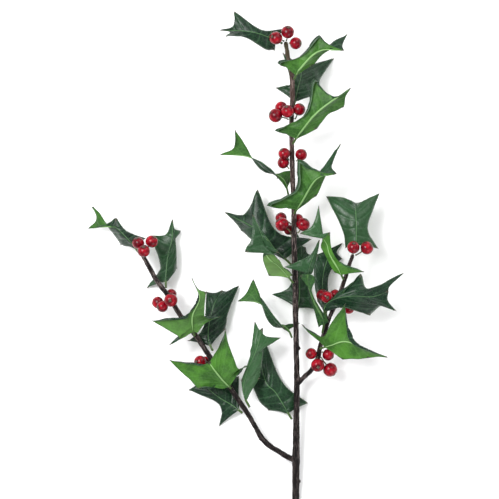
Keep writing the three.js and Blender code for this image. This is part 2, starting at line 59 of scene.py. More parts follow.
MM = 0.001
PLACE = np.array([39.52, -201.08, -0.25])  # mm, where the foot of the main stem lies in the frame
UP = np.array([0.0, 0.0, 1.0])
ASIDE = np.array([0.0, 1.0, 0.0])
NOTHING = 1e-9
SIDES = dict(left=-1, right=1)

# ---- leaves: driving dimensions, in mm ----
LEAF_ROWS = 84  # steps from the stalk to the tip
LEAF_FEWEST_ROWS = 2  # steps in the shortest stretch
LEAF_COLUMNS = 15  # steps from the midrib to a margin
LEAF_LEAST_WIDTH = 0.05  # half width that any row counts as
LEAF_STALK = 0.9  # half width of a leaf stalk
LEAF_STALK_THICK = 1.2
LEAF_STALK_ROUND = 0.01  # how far its section falls short of coming to an edge
LEAF_STALK_END = 0.09  # share of the midrib that the stalk takes
LEAF_BLADE_START = 0.12  # share where the stalk has become a blade
LEAF_TIP_START = 0.9  # share where the blade starts to lie flat towards the tip
LEAF_TIP_WIDTH = 0.35  # half width at the very tip
VEINS = [0.26, 0.74]  # where along the midrib the veins to the basal and far spines leave it
PLAIN_TONE = (0, 0, 0)
# The stretches of a margin between its stalk, its spines and its tip, and how far each falls
# towards the midrib where its points aren't given. The waist's always are.
BETWEEN_SPINES = dict(shoulder=0.12, waist=0, notch=0.3)
BLADE_THICK = 0.42
RIM_THICK = 0.16
RIM_ROUND = 0.45  # width of the margin that thins out
RIB_HEIGHT = 1.0  # how far the midrib stands out of the underside
RIB_GROOVE = 0.28  # how deep the midrib lies in the upper side
RIB_WIDTH = 0.62
RIB_FULL_WIDTH = 10.0  # half width of the blade where the midrib is full size
RIB_LEAST = 0.5  # its size in the narrowest blade
RIB_TAPER = (0.1, 0.75)  # the share of the midrib where it starts to taper, and how much it loses
RIB_COLUMNS = [0.3, 0.6, 0.95, 1.5]  # columns that follow the midrib at these distances
PILLOW = 0.065  # how far each half bulges to the upper side, as a share of its width
PILLOW_WIDEST = 22.0  # half width past which the bulge grows no more
ROLL = 0.75  # how far the margin rolls down
ROLL_FROM = 0.84  # share of the half width where the roll begins
ROLL_TO = 1.05
ROLL_FULL_WIDTH = 8.0  # half width of the blade where the roll and the side veins are full size
WAVE_LENGTH = 9.0
WAVE_HEIGHT = 0.6
WAVE_FULL_WIDTH = 10.0
WAVE_START = 0.3  # share of the half width where the waves are full size
LIP_SHARE = 0.4  # share of the columns that a rolled-over margin takes
LIP_TURN = math.radians(158)
LIP_FLAT = 0.32  # height of the lip as a share of its reach
LIP_WIDEST = 0.45  # its reach as a share of the half width, at most
LIP_EASE = 0.12  # share of the midrib in which it comes and goes
VEIN_SPACES = 8.05  # spaces between side veins along the whole midrib
VEIN_SWEEP = 1.15  # how far a side vein runs forward on its way out, in spaces between veins
VEIN_DEPTH = 0.4
VEIN_NARROW = 0.09  # half width of a vein, as a share of the space between veins
VEIN_START = 0.2  # share of the half width where a vein is full depth
VEIN_FADE = (1.02, 0.8)
VEIN_WANDER = 0.1
VEIN_WANDER_SCALE = 260
SPINE_LENGTH = 3.2
SPINE_PAST = 0.5  # how far a spine's needle stands past the blade
SPINE_RADIUS = 0.34
SPINE_POINT = 0.05  # its radius at both ends
SPINE_TAPER = (0.6, 1.1)  # where its taper starts and ends, as shares of its length and SPINE_PAST
SPINE_STEPS = 6
SPINE_SIDES = 8
SPINE_ROWS = 3  # rows to each side that show which way a spine points
SPINE_BLUNT = 0.2  # where it stands out by less, it points away from the midrib
HORN_REACH = 2.2  # how far the horn colour runs into the blade

# ---- berries, in mm ----
BERRY_PLUMP = 1.04  # the fine berry against the faceted one
BERRY_SQUASH = 0.98  # length against width
BERRY_DIMPLES = (0.07, 0.1)  # depth at the calyx and at the stalk, as shares of the radius
BERRY_DIMPLE_WIDTH = 0.3
BERRY_AROUND = 36
BERRY_DOWN = 26
BERRY_STALK = 0.5
BERRY_STALK_SIDES = 10
BERRY_STALK_STEPS = 8
BERRY_STALK_DEPTH = 0.8  # where it ends inside the berry, as a share of the radius
BERRY_STALK_SAG = 0.35
BERRY_STALK_FLARES = ((0.75, 1, 0.5), (0.2, 0, 0.4))  # from, to and how much thicker, at each end
CALYX_RADIUS = 1.15
CALYX_PROFILE = [(0, 0.55), (0.35, 0.5), (0.8, 0.3), (1.0, 0.12), (0.85, -0.1), (0, -0.25)]
CALYX_AROUND = 24
CALYX_LOBES = 4
CALYX_LOBE_DEPTH = 0.3

# ---- wood, in mm ----
STEM_SIDES = 24
STEM_STEP = 1.5
STEM_FEWEST_STEPS = 8
STEM_VOXEL = 0.42
STEM_SMOOTHING = (0.5, 6)  # factor and rounds
DOME = dict(width=0.97, height=1.3, down=12, around=20)  # the rounded end of a stem
BUD = dict(width=1, height=1.15, down=8, around=16)
BUD_WAY = (0, 1, 0.1)
GRAIN_STRETCH = 0.16  # how much shorter the bark's pattern is along the wood than it is long
GRAIN_APART = 40  # how far along the pattern each branch starts from the last
FURROWS = (0.22, 1.2)  # height and scale
KNOTS = (0.5, 0.11, 3.7, 0.15)  # height, scale along the wood, row of the noise, and what is cut off
SWELLS = (0.25, 0.25, 0.3)  # height, scale across the wood and scale along it
CUT_END = (0.7, -0.6)  # the cut face lies below this y, and its normal's y is less than this
LOOKED_UP = 4000  # points that are looked up at once

# ---- colours, as screen values ----
UPPER_DARK = (10, 30, 20)
UPPER_LIGHT = (20, 50, 28)
# a younger green that also stands in for painted light on a leaf's upper side
UPPER_YOUNG_AND_LIT = (60, 100, 58)
UPPER_BLOOM = (42, 72, 48)
UPPER_VEIN = (62, 98, 66)
UPPER_RIB = (80, 116, 74)
UNDER_DARK = (42, 82, 26)
UNDER_LIGHT = (66, 116, 36)
# an older green that also stands in for painted shade on a leaf's underside
UNDER_OLD_AND_SHADED = (34, 66, 34)
UNDER_NET = (84, 136, 58)
UNDER_VEIN = (90, 140, 68)
UNDER_SHADE = (16, 42, 16)
UNDER_PALE = (120, 144, 96)
UNDER_RIB = (136, 176, 112)
# a pale margin, partly its own pale edge and partly a painted highlight
RIM_PALE_AND_HIGHLIGHT = (112, 136, 110)
RIM_SHADE = (40, 66, 40)
STALK = (66, 90, 46)
HORN = (44, 44, 34)
HORN_PALE = (88, 86, 64)
BERRY_BRIGHT = (156, 6, 28)
BERRY_DEEP = (74, 2, 14)
BERRY_DARK = (40, 2, 8)
CALYX_DARK = (30, 24, 20)
CALYX_PALE = (96, 80, 60)
TWIG_DARK = (54, 56, 36)
TWIG_PALE = (104, 106, 70)
BARK_DARK = (22, 17, 17)
BARK_MID = (50, 37, 33)
BARK_PALE = (150, 134, 130)
BARK_CRACK = (12, 10, 11)
BARK_GREEN = (76, 80, 50)
BARK_WARM = (112, 88, 80)
CUT_PALE = (206, 190, 150)
CUT_DARK = (166, 146, 106)
TABLE_PALE = (250, 250, 250)
TABLE_SHADE = (246, 246, 247)

# ---- looks ----
# A look has a ground that runs between two colours, and layers over it from the bottom up. Each
# layer is a colour with the pattern that says how much of it shows. A pattern is read from clouds
# or grain (scale, detail, roughness, distortion), from cells (scale), from the side veins (half
# width) or from a number that the mesh holds. off: the value that it is counted from, either way.
# ramps: two values that it is spread between, and what it is there where that isn't 0 and 1.
# times: a pattern that it is multiplied by. share: a number that it is multiplied by. The relief
# is its depth in metres, its strength and the patterns that are added up to its height.
TO_BLADE = [
    (STALK, dict(number="stalk", ramps=[(0.2, 0.9)])),
    (HORN, dict(number="horn", ramps=[(0.25, 0.95)])),
]

# The shiny side: dark bluish green with a pale midrib and faint veins.
LEAF_UPPER = dict(
    specular=0.22,
    roughness=dict(clouds=(140,), ramps=[(0.3, 0.75, 0.22, 0.36)]),
    ground=(UPPER_DARK, UPPER_LIGHT, dict(clouds=(55, 4.0, 0.6), ramps=[(0.4, 0.76)])),
    layers=[
        # Painted light, with a younger green: the whole upper side of a leaf made lighter by its tone.
        (UPPER_YOUNG_AND_LIT, dict(number="young_and_lit")),
        (UPPER_BLOOM, dict(clouds=(900, 4.0, 0.65), ramps=[(0.35, 0.7)], share=0.2)),
        (UPPER_VEIN, dict(cells=300, ramps=[(0.0, 0.1, 1.0, 0.0)], share=0.2)),
        (UPPER_VEIN, dict(veins=0.09, share=0.4)),
        # Painted shade: a darker band along both sides of the midrib's groove.
        (UPPER_DARK, dict(number="rib", off=0.2, ramps=[(0.0, 0.2, 1.0, 0.0)], share=0.6)),
        (UPPER_RIB, dict(number="rib", ramps=[(0.45, 0.95)], share=0.75)),
        # The pale margin: partly its own pale edge, partly a painted highlight along it.
        (RIM_PALE_AND_HIGHLIGHT, dict(number="rim", ramps=[(0.93, 1.0)], share=0.45)),
        *TO_BLADE,
    ],
    relief=(0.00018, 0.65, [dict(clouds=(1500,)), dict(cells=420, share=0.8), dict(veins=0.2, share=-0.7)]),
)

# The dull side: fresh yellow green with a raised pale midrib and a net of fine veins.
UNDER_CELLS = dict(cells=330, ramps=[(0.0, 0.12, 1.0, 0.0)])
LEAF_UNDER = dict(
    specular=0.22,
    roughness=dict(clouds=(160,), ramps=[(0.3, 0.75, 0.42, 0.58)]),
    ground=(UNDER_DARK, UNDER_LIGHT, dict(clouds=(60, 4.0, 0.6), ramps=[(0.36, 0.64)])),
    layers=[
        # Painted shade, with an older green: the whole underside of a leaf made darker by its tone.
        (UNDER_OLD_AND_SHADED, dict(number="old_and_shaded")),
        (UNDER_PALE, dict(number="pale")),
        (UNDER_NET, dict(UNDER_CELLS, share=0.22)),
        (UNDER_VEIN, dict(veins=0.12, share=0.2)),
        (UNDER_SHADE, dict(number="rib", off=0.24, ramps=[(0.0, 0.2, 1.0, 0.0)], share=0.6)),
        # The pale midrib fades where the underside is darkened by painted shade.
        (UNDER_RIB, dict(number="rib", ramps=[(0.45, 0.9)],
                         times=dict(number="old_and_shaded", ramps=[(0.0, 1.0, 0.85, 0.3)]))),
        (RIM_SHADE, dict(number="rim", ramps=[(0.94, 1.0)], share=0.5)),
        *TO_BLADE,
    ],
    relief=(0.0001, 0.5, [dict(clouds=(1300,)), dict(UNDER_CELLS, share=0.7)]),
)

LEAF_SPINE = dict(roughness=0.45, ground=(HORN, HORN_PALE, dict(clouds=(900,))))

# Thin glossy skin, crimson, darker towards the stalk and round the calyx. pole is the angle from
# the calyx.
BERRY_SKIN = dict(
    specular=0.24,
    roughness=dict(clouds=(500, 2.0), ramps=[(0.35, 0.7, 0.14, 0.3)]),
    ground=(BERRY_DEEP, BERRY_BRIGHT, dict(clouds=(230, 3.0, 0.6), ramps=[(0.3, 0.72)])),
    layers=[
        (BERRY_DARK, dict(number="pole", ramps=[(0.18, 0.62, 0.75, 0.0)])),
        (BERRY_DARK, dict(number="pole", ramps=[(1.7, 3.0, 0.0, 0.85)])),
        (BERRY_DARK, dict(clouds=(1400, 2.0), ramps=[(0.64, 0.76)], share=0.5)),
    ],
    relief=(0.0002, 0.25, [dict(clouds=(420, 2.0))]),
)

CALYX = dict(
    roughness=0.7,
    ground=(CALYX_DARK, CALYX_PALE, dict(clouds=(1100,), ramps=[(0.35, 0.65)])),
    relief=(0.00015, 0.6, [dict(clouds=(1600,))]),
)

BERRY_TWIG = dict(
    roughness=0.55,
    ground=(TWIG_DARK, TWIG_PALE, dict(clouds=(350,), ramps=[(0.35, 0.65)])),
    relief=(0.0001, 0.5, [dict(clouds=(1500,))]),
)

# Dark brown bark with long pale streaks and small cracks, darkest low on the stem, warmer higher
# up and green at the tip. low is how far up the stem it is, in mm.
STREAKS = dict(grain=(0.8, 5.0, 0.65, 0.6), ramps=[(0.47, 0.62)])
CRACKS = dict(grain=(2.2, 4.0, 0.7, 0.3), ramps=[(0.5, 0.6)])
PATCHES = dict(clouds=(60,), ramps=[(0.35, 0.65)])
BARK = dict(
    specular=0.16,
    roughness=dict(STREAKS, ramps=[*STREAKS["ramps"], (0.0, 1.0, 0.7, 0.4)]),
    ground=(BARK_DARK, BARK_MID, PATCHES),
    layers=[
        (BARK_PALE, dict(STREAKS, share=0.72)),
        (BARK_CRACK, dict(CRACKS, share=0.75)),
        (BARK_CRACK, dict(number="low", ramps=[(60.0, 260.0, 0.7, 0.0)])),
        (BARK_WARM, dict(number="low", ramps=[(190.0, 330.0, 0.0, 0.42)],
                         times=dict(PATCHES, ramps=[*PATCHES["ramps"], (0.0, 1.0, 0.5, 1.0)]))),
        (BARK_CRACK, dict(CRACKS, share=0.5)),
        (BARK_GREEN, dict(number="low", ramps=[(345.0, 380.0, 0.0, 0.5)])),
    ],
    relief=(0.0008, 0.85, [dict(grain=(1.8, 5.0, 0.7)), dict(CRACKS, share=-0.5)]),
)

RINGS = dict(clouds=(1400, 4.0), ramps=[(0.35, 0.65)])
CUT_WOOD = dict(roughness=0.8, ground=(CUT_PALE, CUT_DARK, RINGS), relief=(0.0002, 0.6, [RINGS]))

TABLE = dict(specular=0.2, roughness=0.75, ground=(TABLE_PALE, TABLE_SHADE, dict(clouds=(9,))))

# ---- table, light and camera, in metres ----
TABLE_SIZE = 6.0
LAMPS = dict(
    window=dict(place=(-0.9, 0.55, 1.7), size=1.15, power=38.0),
    spark=dict(place=(-0.75, 0.45, 1.75), size=0.14, power=6.0),
    back=dict(place=(1.0, 1.5, 1.2), size=1.6, power=16.0),
    front=dict(place=(0.9, -1.5, 1.2), size=1.6, power=16.0),
)
SKY = 0.6
CAMERA_LENS = 1000.0
CAMERA_SENSOR = 36.0
CAMERA_FIELD = 0.3992  # how much of the table the picture is wide
CAMERA_ASIDE = (0.0027, 0.0113)
CAMERA_NEAR = 0.1
CAMERA_FAR = 10  # how many times its height it sees

# ---- wood: [x, y, z, radius] along the middle of each stem ----
MAIN_STEM = [
    [0, 0, 2.9, 2.8], [0.3, 28, 5.9, 2.9], [0.4, 45, 7.7, 3.0], [0.6, 68, 10.1, 2.6], [1, 108, 14.3, 2.3],
    [0.6, 132, 16.8, 2.1], [0, 164, 20.2, 2.3], [-0.2, 182, 22.1, 2.4], [-1, 212, 25.2, 2.2],
    [-1.4, 240, 28.2, 2.0], [-2.6, 276, 32, 2.0], [-3.3, 310, 35.5, 1.9], [-2.6, 336, 38.2, 1.9],
    [-3, 350, 39.7, 1.9], [-5.8, 364, 41.2, 1.8], [-7.8, 376, 42.4, 1.7],
]
LEFT_BRANCH = [
    [0, 44, 7.6, 2.2], [-6, 46.4, 8, 2.2], [-12.4, 50.4, 8.6, 2.1], [-20.4, 55.2, 9.2, 2.1],
    [-26.8, 61.6, 9.8, 2.3], [-31.6, 69.6, 10.6, 2.0], [-38, 80.8, 11.8, 2.0], [-51.6, 100.8, 14, 2.0],
    [-68.4, 126.4, 17, 2.1], [-78.8, 142.4, 18.8, 2.0], [-91.6, 159.2, 20.8, 2.0],
    [-102.8, 176.8, 22.8, 1.9], [-111.6, 188.8, 24.2, 1.9], [-116.4, 197.6, 25.2, 1.8],
    [-122, 207.2, 26.2, 1.7],
]
RIGHT_BRANCH = [
    [1, 104, 13.8, 1.9], [4.4, 108, 14.5, 1.9], [8.4, 112, 15.3, 1.9], [13.2, 116.8, 16.2, 1.9],
    [18, 126.4, 18, 1.9], [19.6, 135.2, 19.8, 1.9], [23.6, 147.2, 22, 1.8], [26.8, 157.6, 24, 1.7],
    [33.2, 172, 26.8, 1.7], [38.8, 187.2, 29.6, 1.7], [42, 197.6, 31.6, 1.6], [45.2, 207, 33.4, 1.5],
]
# small knobs in the bark: [x, y, z, radius]
BUDS = [
    [2.6, 133.5, 17.4, 1.3], [2.6, 27, 5.8, 1.5], [-0.6, 183.6, 23.6, 1.9], [-28, 61, 9.8, 1.4],
    [-7.6, 367.5, 41.6, 1.2],
]

# ---- leaves ----
# midrib: from the foot of the leaf stalk on the wood, through where it bends, to the tip. Left and
# right are as seen on the shiny upper side with the tip away from the viewer. tone, from 0 to 1: how
# much the upper side is lightened, partly a younger green and partly painted light; how much the
# underside is darkened, partly an older green and partly painted shade; and how pale the underside
# is. lip: a margin that is rolled over the underside, with the shares of the midrib between which it
# is, and its reach.
# An edge has its basal spine, the waist between its two spines, and its far spine. A notch is the
# margin beyond the far spine and a shoulder the margin before the basal one, each given where it
# isn't even. A waist, notch or shoulder is one point or several in a row. veins: where along the
# midrib the veins to the two spines leave it.


def edge(basal, waist, far, notch=None, shoulder=None, veins=VEINS):
    return dict(basal=basal, waist=waist, far=far, notch=notch, shoulder=shoulder, veins=veins)


LEAVES = dict(
    main_leaf_1=dict(
        midrib=[[-10.6, 376.6, 42.4], [-20.4, 381.2, 45], [-36.4, 386, 45.5], [-60.4, 387.2, 38]],
        left=edge([-16.8, 370.8, 36], [[-25.4, 372.4, 38], [-40.6, 381, 40]], [-56, 382.2, 26],
            [-52.4, 386, 38]),
        right=edge([-9, 388.4, 40], [-26.8, 387.6, 44], [-48.8, 402.4, 40], [-49.4, 390.8, 42]),
    ),
    main_leaf_2=dict(
        midrib=[[-1.2, 348, 42.6], [3.6, 356.8, 50], [18, 370, 58], [38.4, 370.8, 62]],
        left=edge([13.2, 359.6, 44], [22, 368.8, 47], [41.2, 384.4, 48]),
        right=edge([-13.6, 361.6, 50], [3.6, 365.6, 52], [18.8, 383.2, 56], [26.4, 375.6, 60]),
        tone=(0, 0.1, 0), lip=("right", 0.16, 0.84, 3.2),
    ),
    main_leaf_3=dict(
        midrib=[[-1.6, 326.6, 33.6], [2, 341.6, 31], [4.4, 352.8, 23], [1.2, 361.6, 12]],
        left=edge([-16, 341.4, 27], [-4.4, 344.8, 30], [-10, 369.6, 16]),
        right=edge([21.2, 336.8, 16], [19.6, 347.2, 16], [31, 365.4, 0.6], [10.8, 355.6, 14]),
        tone=(0.1, 0, 0),
    ),
    main_leaf_4=dict(
        midrib=[[-2.4, 296.5, 37.6], [4.4, 306.8, 47], [18, 322.4, 57], [43.6, 340.8, 60]],
        left=edge([16.8, 308.8, 41], [26.8, 321.2, 47], [38, 326.4, 47]),
        right=edge([-16, 307.6, 44], [6.6, 317.2, 50], [14.8, 347.6, 54], [28, 332.4, 58]),
        tone=(0.2, 0.3, 0), lip=("right", 0.14, 0.86, 3.6),
    ),
    main_leaf_5=dict(
        midrib=[[-5.4, 254.5, 29.8], [-9.6, 267.2, 33.6], [-23.6, 275.6, 40], [-37.2, 286, 44],
            [-60, 288, 46]],
        left=edge([-0.8, 275.2, 24.6], [-26.8, 275.2, 36], [-48.4, 308, 50], [-49, 294, 48],
            shoulder=[-6.4, 263, 27]),
        right=edge([-14.8, 270.4, 40], [-26.8, 281.6, 48], [-46, 289.6, 37]),
        tone=(0, 0.4, 0),
    ),
    main_leaf_6=dict(
        midrib=[[-1.2, 241, 31.6], [5.2, 251.2, 42], [16.4, 268, 52], [32.4, 272.8, 51]],
        left=edge([16.4, 255.2, 38], [23.6, 271.2, 42], [35.6, 296.8, 43], [29, 280, 46]),
        right=edge([-22.4, 248.4, 38], [0.4, 260, 44], [2.4, 284, 50], [18, 274.8, 54]),
        tone=(0.2, 0.35, 0), lip=("right", 0.12, 0.88, 4.6),
    ),
    main_leaf_7=dict(
        midrib=[[-3.6, 200.4, 20.4], [-16.4, 212.8, 18], [-28, 226.4, 18], [-56.4, 242, 8]],
        left=edge([-22, 210.4, 6], [-32.4, 217.6, 11], [-43.6, 227.2, 0.6]),
        right=edge([12.8, 220.8, 14], [-15.2, 227.2, 17], [-30.2, 260.4, 14], [-39.6, 240.4, 15]),
    ),
    main_leaf_8=dict(
        midrib=[[-1.8, 185.6, 26.2], [-13.2, 199.2, 36], [-22.8, 207.2, 44], [-26.8, 223.2, 48],
            [-34.4, 240.4, 46]],
        left=edge([-2, 192, 34], [[-9, 197.6, 36], [-13.2, 204.6, 42], [-20, 209, 50]],
            [-40.4, 210.4, 50], [-34.6, 222, 50]),
        right=edge([-21.4, 191.8, 31], [[-24.4, 199.8, 36], [-25.6, 206.8, 44]], [-13.2, 209.6, 46],
            [-25.6, 222, 48]),
        tone=(0.3, 0, 0.4),
    ),
    main_leaf_9=dict(
        midrib=[[1.2, 161, 15.8], [3.2, 176, 12], [3.6, 196, 9], [8, 214, 2.6]],
        left=edge([-18.8, 176.4, 10], [-3.6, 184.8, 12], [1.2, 226.4, 6]),
        right=edge([17, 164.6, 7], [10, 185, 7], [13, 208, 0.6]),
        tone=(0.1, 0, 0),
    ),
    main_leaf_10=dict(
        midrib=[[-2.9, 142, 18.6], [-6.6, 149, 22], [-15.6, 154, 27], [-23.6, 164, 30], [-31, 170.4, 32],
            [-46, 171.2, 32]],
        left=edge([2.8, 153.6, 12.4], [-18.8, 151.2, 22], [-34, 188.8, 34], shoulder=[-5, 148.6, 16]),
        right=edge([-9.2, 148.4, 26], [-17.2, 159.2, 32], [-35.6, 186, 26]),
        tone=(0.2, 0.7, 0),
    ),
    main_leaf_11=dict(
        midrib=[[-3, 76.6, 7.4], [-15.6, 97.6, 8.4], [-23.6, 106.4, 8], [-29.2, 130.4, 1.2]],
        left=edge([-22, 83.6, 0.6], [-30, 92, 2.4], [-38, 112, 0.6]),
        right=edge([10, 89.6, 4], [-10.4, 106.4, 7], [-24, 138.4, 4]),
        tone=(0.05, 0, 0),
    ),
    right_leaf_1=dict(
        midrib=[[48.4, 211.4, 32.6], [48.4, 229.6, 31], [48, 242.4, 28], [48.4, 249.6, 12]],
        left=edge([39.6, 213.6, 26], [36.8, 228.8, 27], [24.4, 254.8, 20], [40.4, 252.8, 23]),
        right=edge([66, 213.2, 22], [58, 229.6, 27], [67.2, 257.6, 16], [55, 251.2, 20]),
        tone=(0.35, 0, 0),
    ),
    right_leaf_2=dict(
        midrib=[[38.2, 188.4, 33], [33.6, 197.6, 41], [27.4, 208, 46], [24, 218, 49], [16, 225, 52],
            [3.6, 225.2, 51]],
        left=edge([54.4, 194.8, 40], [[38, 200, 43], [30, 209, 46], [27.6, 218, 48]], [27.2, 226.4, 50],
            [20.4, 221.6, 53]),
        right=edge([31.6, 194.4, 35], [[26.8, 202.4, 38], [20.6, 214.6, 43], [21.4, 222.4, 48]],
            [18.4, 247.2, 53], [13.2, 231.6, 52]),
        tone=(0.6, 0, 0),
    ),
    right_leaf_3=dict(
        midrib=[[25.6, 155, 20.2], [22.6, 170, 15], [21.4, 186, 12.4], [24.2, 201, 9], [29, 211, 5],
            [37.2, 217.2, 2]],
        left=edge([17.4, 171, 13.6], [[15.4, 183, 13], [14.8, 197, 11.6]], [16.6, 208.4, 9],
            [22.6, 210.6, 7]),
        right=edge([26.8, 172.6, 12.4], [[26.2, 188.4, 10], [30, 198, 7]], [37.2, 205.2, 3],
            [33, 210.4, 3.4]),
    ),
    right_leaf_4=dict(
        midrib=[[24.2, 157.6, 27.2], [22.6, 166.4, 32], [30.8, 172.8, 38], [45.2, 175.2, 42],
            [61.2, 174.8, 40], [74, 179.2, 36]],
        left=edge([52.4, 192.4, 36], [58.8, 181.2, 40], [86.8, 194, 30], [75.6, 183.6, 35],
            shoulder=[40.4, 180, 40]),
        right=edge([59.6, 160, 28], [69.2, 167.2, 33], [80.4, 163.2, 28], [74, 171.2, 33],
            shoulder=[39.6, 166.4, 36]),
    ),
    right_leaf_5=dict(
        midrib=[[21.4, 145.8, 24.8], [22, 156, 31], [14.6, 171, 38], [10, 184, 44], [11, 198, 49],
            [18.8, 220, 50]],
        left=edge([26, 154.4, 28], [[16.8, 169.6, 36], [12.8, 180, 42], [14.4, 191.2, 48]],
            [-9.2, 198.4, 49], [9.6, 205.6, 50]),
        right=edge([18.6, 150.4, 27], [[13.4, 170, 37], [10.6, 181.6, 42]], [3.8, 191.2, 44],
            [[12.8, 192.8, 45], [16.4, 204, 47]]),
        tone=(0.3, 1, 0),
    ),
    right_leaf_6=dict(
        midrib=[[19.4, 133, 23.4], [27.6, 136, 30], [39.6, 139.2, 36], [53.2, 134.4, 38],
            [73.2, 126.4, 34]],
        left=edge([37.6, 124.8, 26], [45.2, 125.2, 30], [58, 126, 27]),
        right=edge([4.8, 152.8, 34], [[14.8, 145.8, 34], [22.8, 143.4, 35], [28, 153.4, 40]],
            [39.6, 169.2, 48], [[40.6, 152, 43], [42.6, 140.4, 40], [54, 133.4, 39]], veins=[0.14, 0.34]),
    ),
    left_leaf_1=dict(
        midrib=[[-124.8, 209.4, 26.4], [-131.6, 218, 27], [-142, 228.8, 26], [-147.6, 230.6, 22],
            [-165.6, 229.2, 6]],
        left=edge([-140.4, 215.6, 10], [-146.8, 226.4, 14], [-162, 247.2, 22], [-158.4, 237, 15]),
        right=edge([-119.6, 221.6, 20], [-134, 226.4, 24], [-143.2, 237.2, 23], [-151, 231.8, 20]),
        tone=(0, 0.5, 0),
    ),
    left_leaf_2=dict(
        midrib=[[-103.6, 181.6, 19.4], [-103.6, 192, 18], [-102, 208, 16], [-98.8, 220, 13],
            [-98.4, 236.4, 8]],
        left=edge([-119.2, 181.6, 0.6], [[-109.4, 189.6, 9], [-108.8, 202, 12]], [-116, 223, 6],
            [-104, 224, 11]),
        right=edge([-94.4, 197.6, 9], [[-95.2, 212, 11], [-95.4, 222, 7]], [-91.6, 227.6, 0.6],
            [-96.6, 229, 8], shoulder=[-100.4, 188.6, 15]),
        tone=(0.2, 0.3, 0),
    ),
    left_leaf_3=dict(
        midrib=[[-80.6, 143.4, 22.4], [-82.4, 150.4, 30], [-82, 160.8, 38], [-76.4, 174.4, 43],
            [-82.8, 189.6, 44]],
        left=edge([-59.6, 159.2, 33], [[-71, 157.8, 36], [-73, 164, 39]], [-71.4, 178.6, 44],
            [-78.4, 181.2, 44], shoulder=[[-78, 146.4, 28], [-72.8, 152.6, 33]]),
        right=edge([-101.2, 136, 30], [[-92.8, 141.6, 31], [-101, 147.6, 32]], [-114.8, 155.8, 34],
            [[-90, 156.8, 37], [-84.4, 162, 40], [-76.8, 173.6, 43]], veins=[0.16, 0.3]),
        tone=(0, 0.2, 0.12),
    ),
    left_leaf_4=dict(
        midrib=[[-66.2, 131.4, 14.6], [-69.6, 140, 13.6], [-69.2, 152, 14], [-65.2, 168, 12],
            [-58.8, 179.6, 4]],
        left=edge([-86.4, 139.6, 8], [[-76.6, 144, 9], [-73, 154, 12]], [-71.6, 179.2, 5]),
        right=edge([-55.6, 148.8, 8], [-53.2, 163.2, 10], [-44.8, 184, 3]),
    ),
    left_leaf_5=dict(
        midrib=[[-51.6, 101.4, 17.6], [-58.8, 108.8, 28], [-65.2, 116.8, 36], [-69, 122.4, 37]],
        left=edge([-38.6, 120, 29], [[-45.6, 117.4, 30], [-49.2, 125.6, 33], [-54, 138.4, 37]],
            [-56.2, 148.4, 40], [[-59.4, 138.4, 40], [-65.6, 127.6, 39]],
            shoulder=[[-48.4, 109.6, 24], [-44.8, 114.8, 28]]),
        right=edge([-78, 101.2, 26], [[-84.4, 108.6, 29], [-91, 114.4, 31]], [-100.8, 124.4, 34],
            [[-88.4, 122.6, 36], [-76.4, 120, 37]], shoulder=[[-59, 101.4, 22], [-70, 103, 26]]),
    ),
    left_leaf_6=dict(
        midrib=[[-42.4, 81.6, 9.4], [-50.8, 88, 8.4], [-62.8, 95.2, 8], [-78, 108, 3]],
        left=edge([-61.2, 70.8, 0.6], [-60.8, 88, 5], [-86, 100, 0.6]),
        right=edge([-45.2, 111.2, 4], [-58, 110, 6], [-72.4, 119, 2]),
    ),
    left_leaf_7=dict(
        midrib=[[-36.8, 86.4, 13.8], [-42, 98.4, 18], [-38.8, 114.4, 24], [-31.6, 132, 30],
            [-26.4, 149.6, 32]],
        left=edge([-43.6, 108, 20], [-35.6, 130.4, 27], [-32.8, 154.8, 25]),
        right=edge([-28.4, 109.6, 18], [[-26.6, 124, 24.4], [-24.6, 138.4, 27]], [-11.8, 141.9, 24],
            [[-21, 142.6, 28], [-25.6, 144.8, 30]]),
        tone=(0.6, 0, 0),
    ),
)

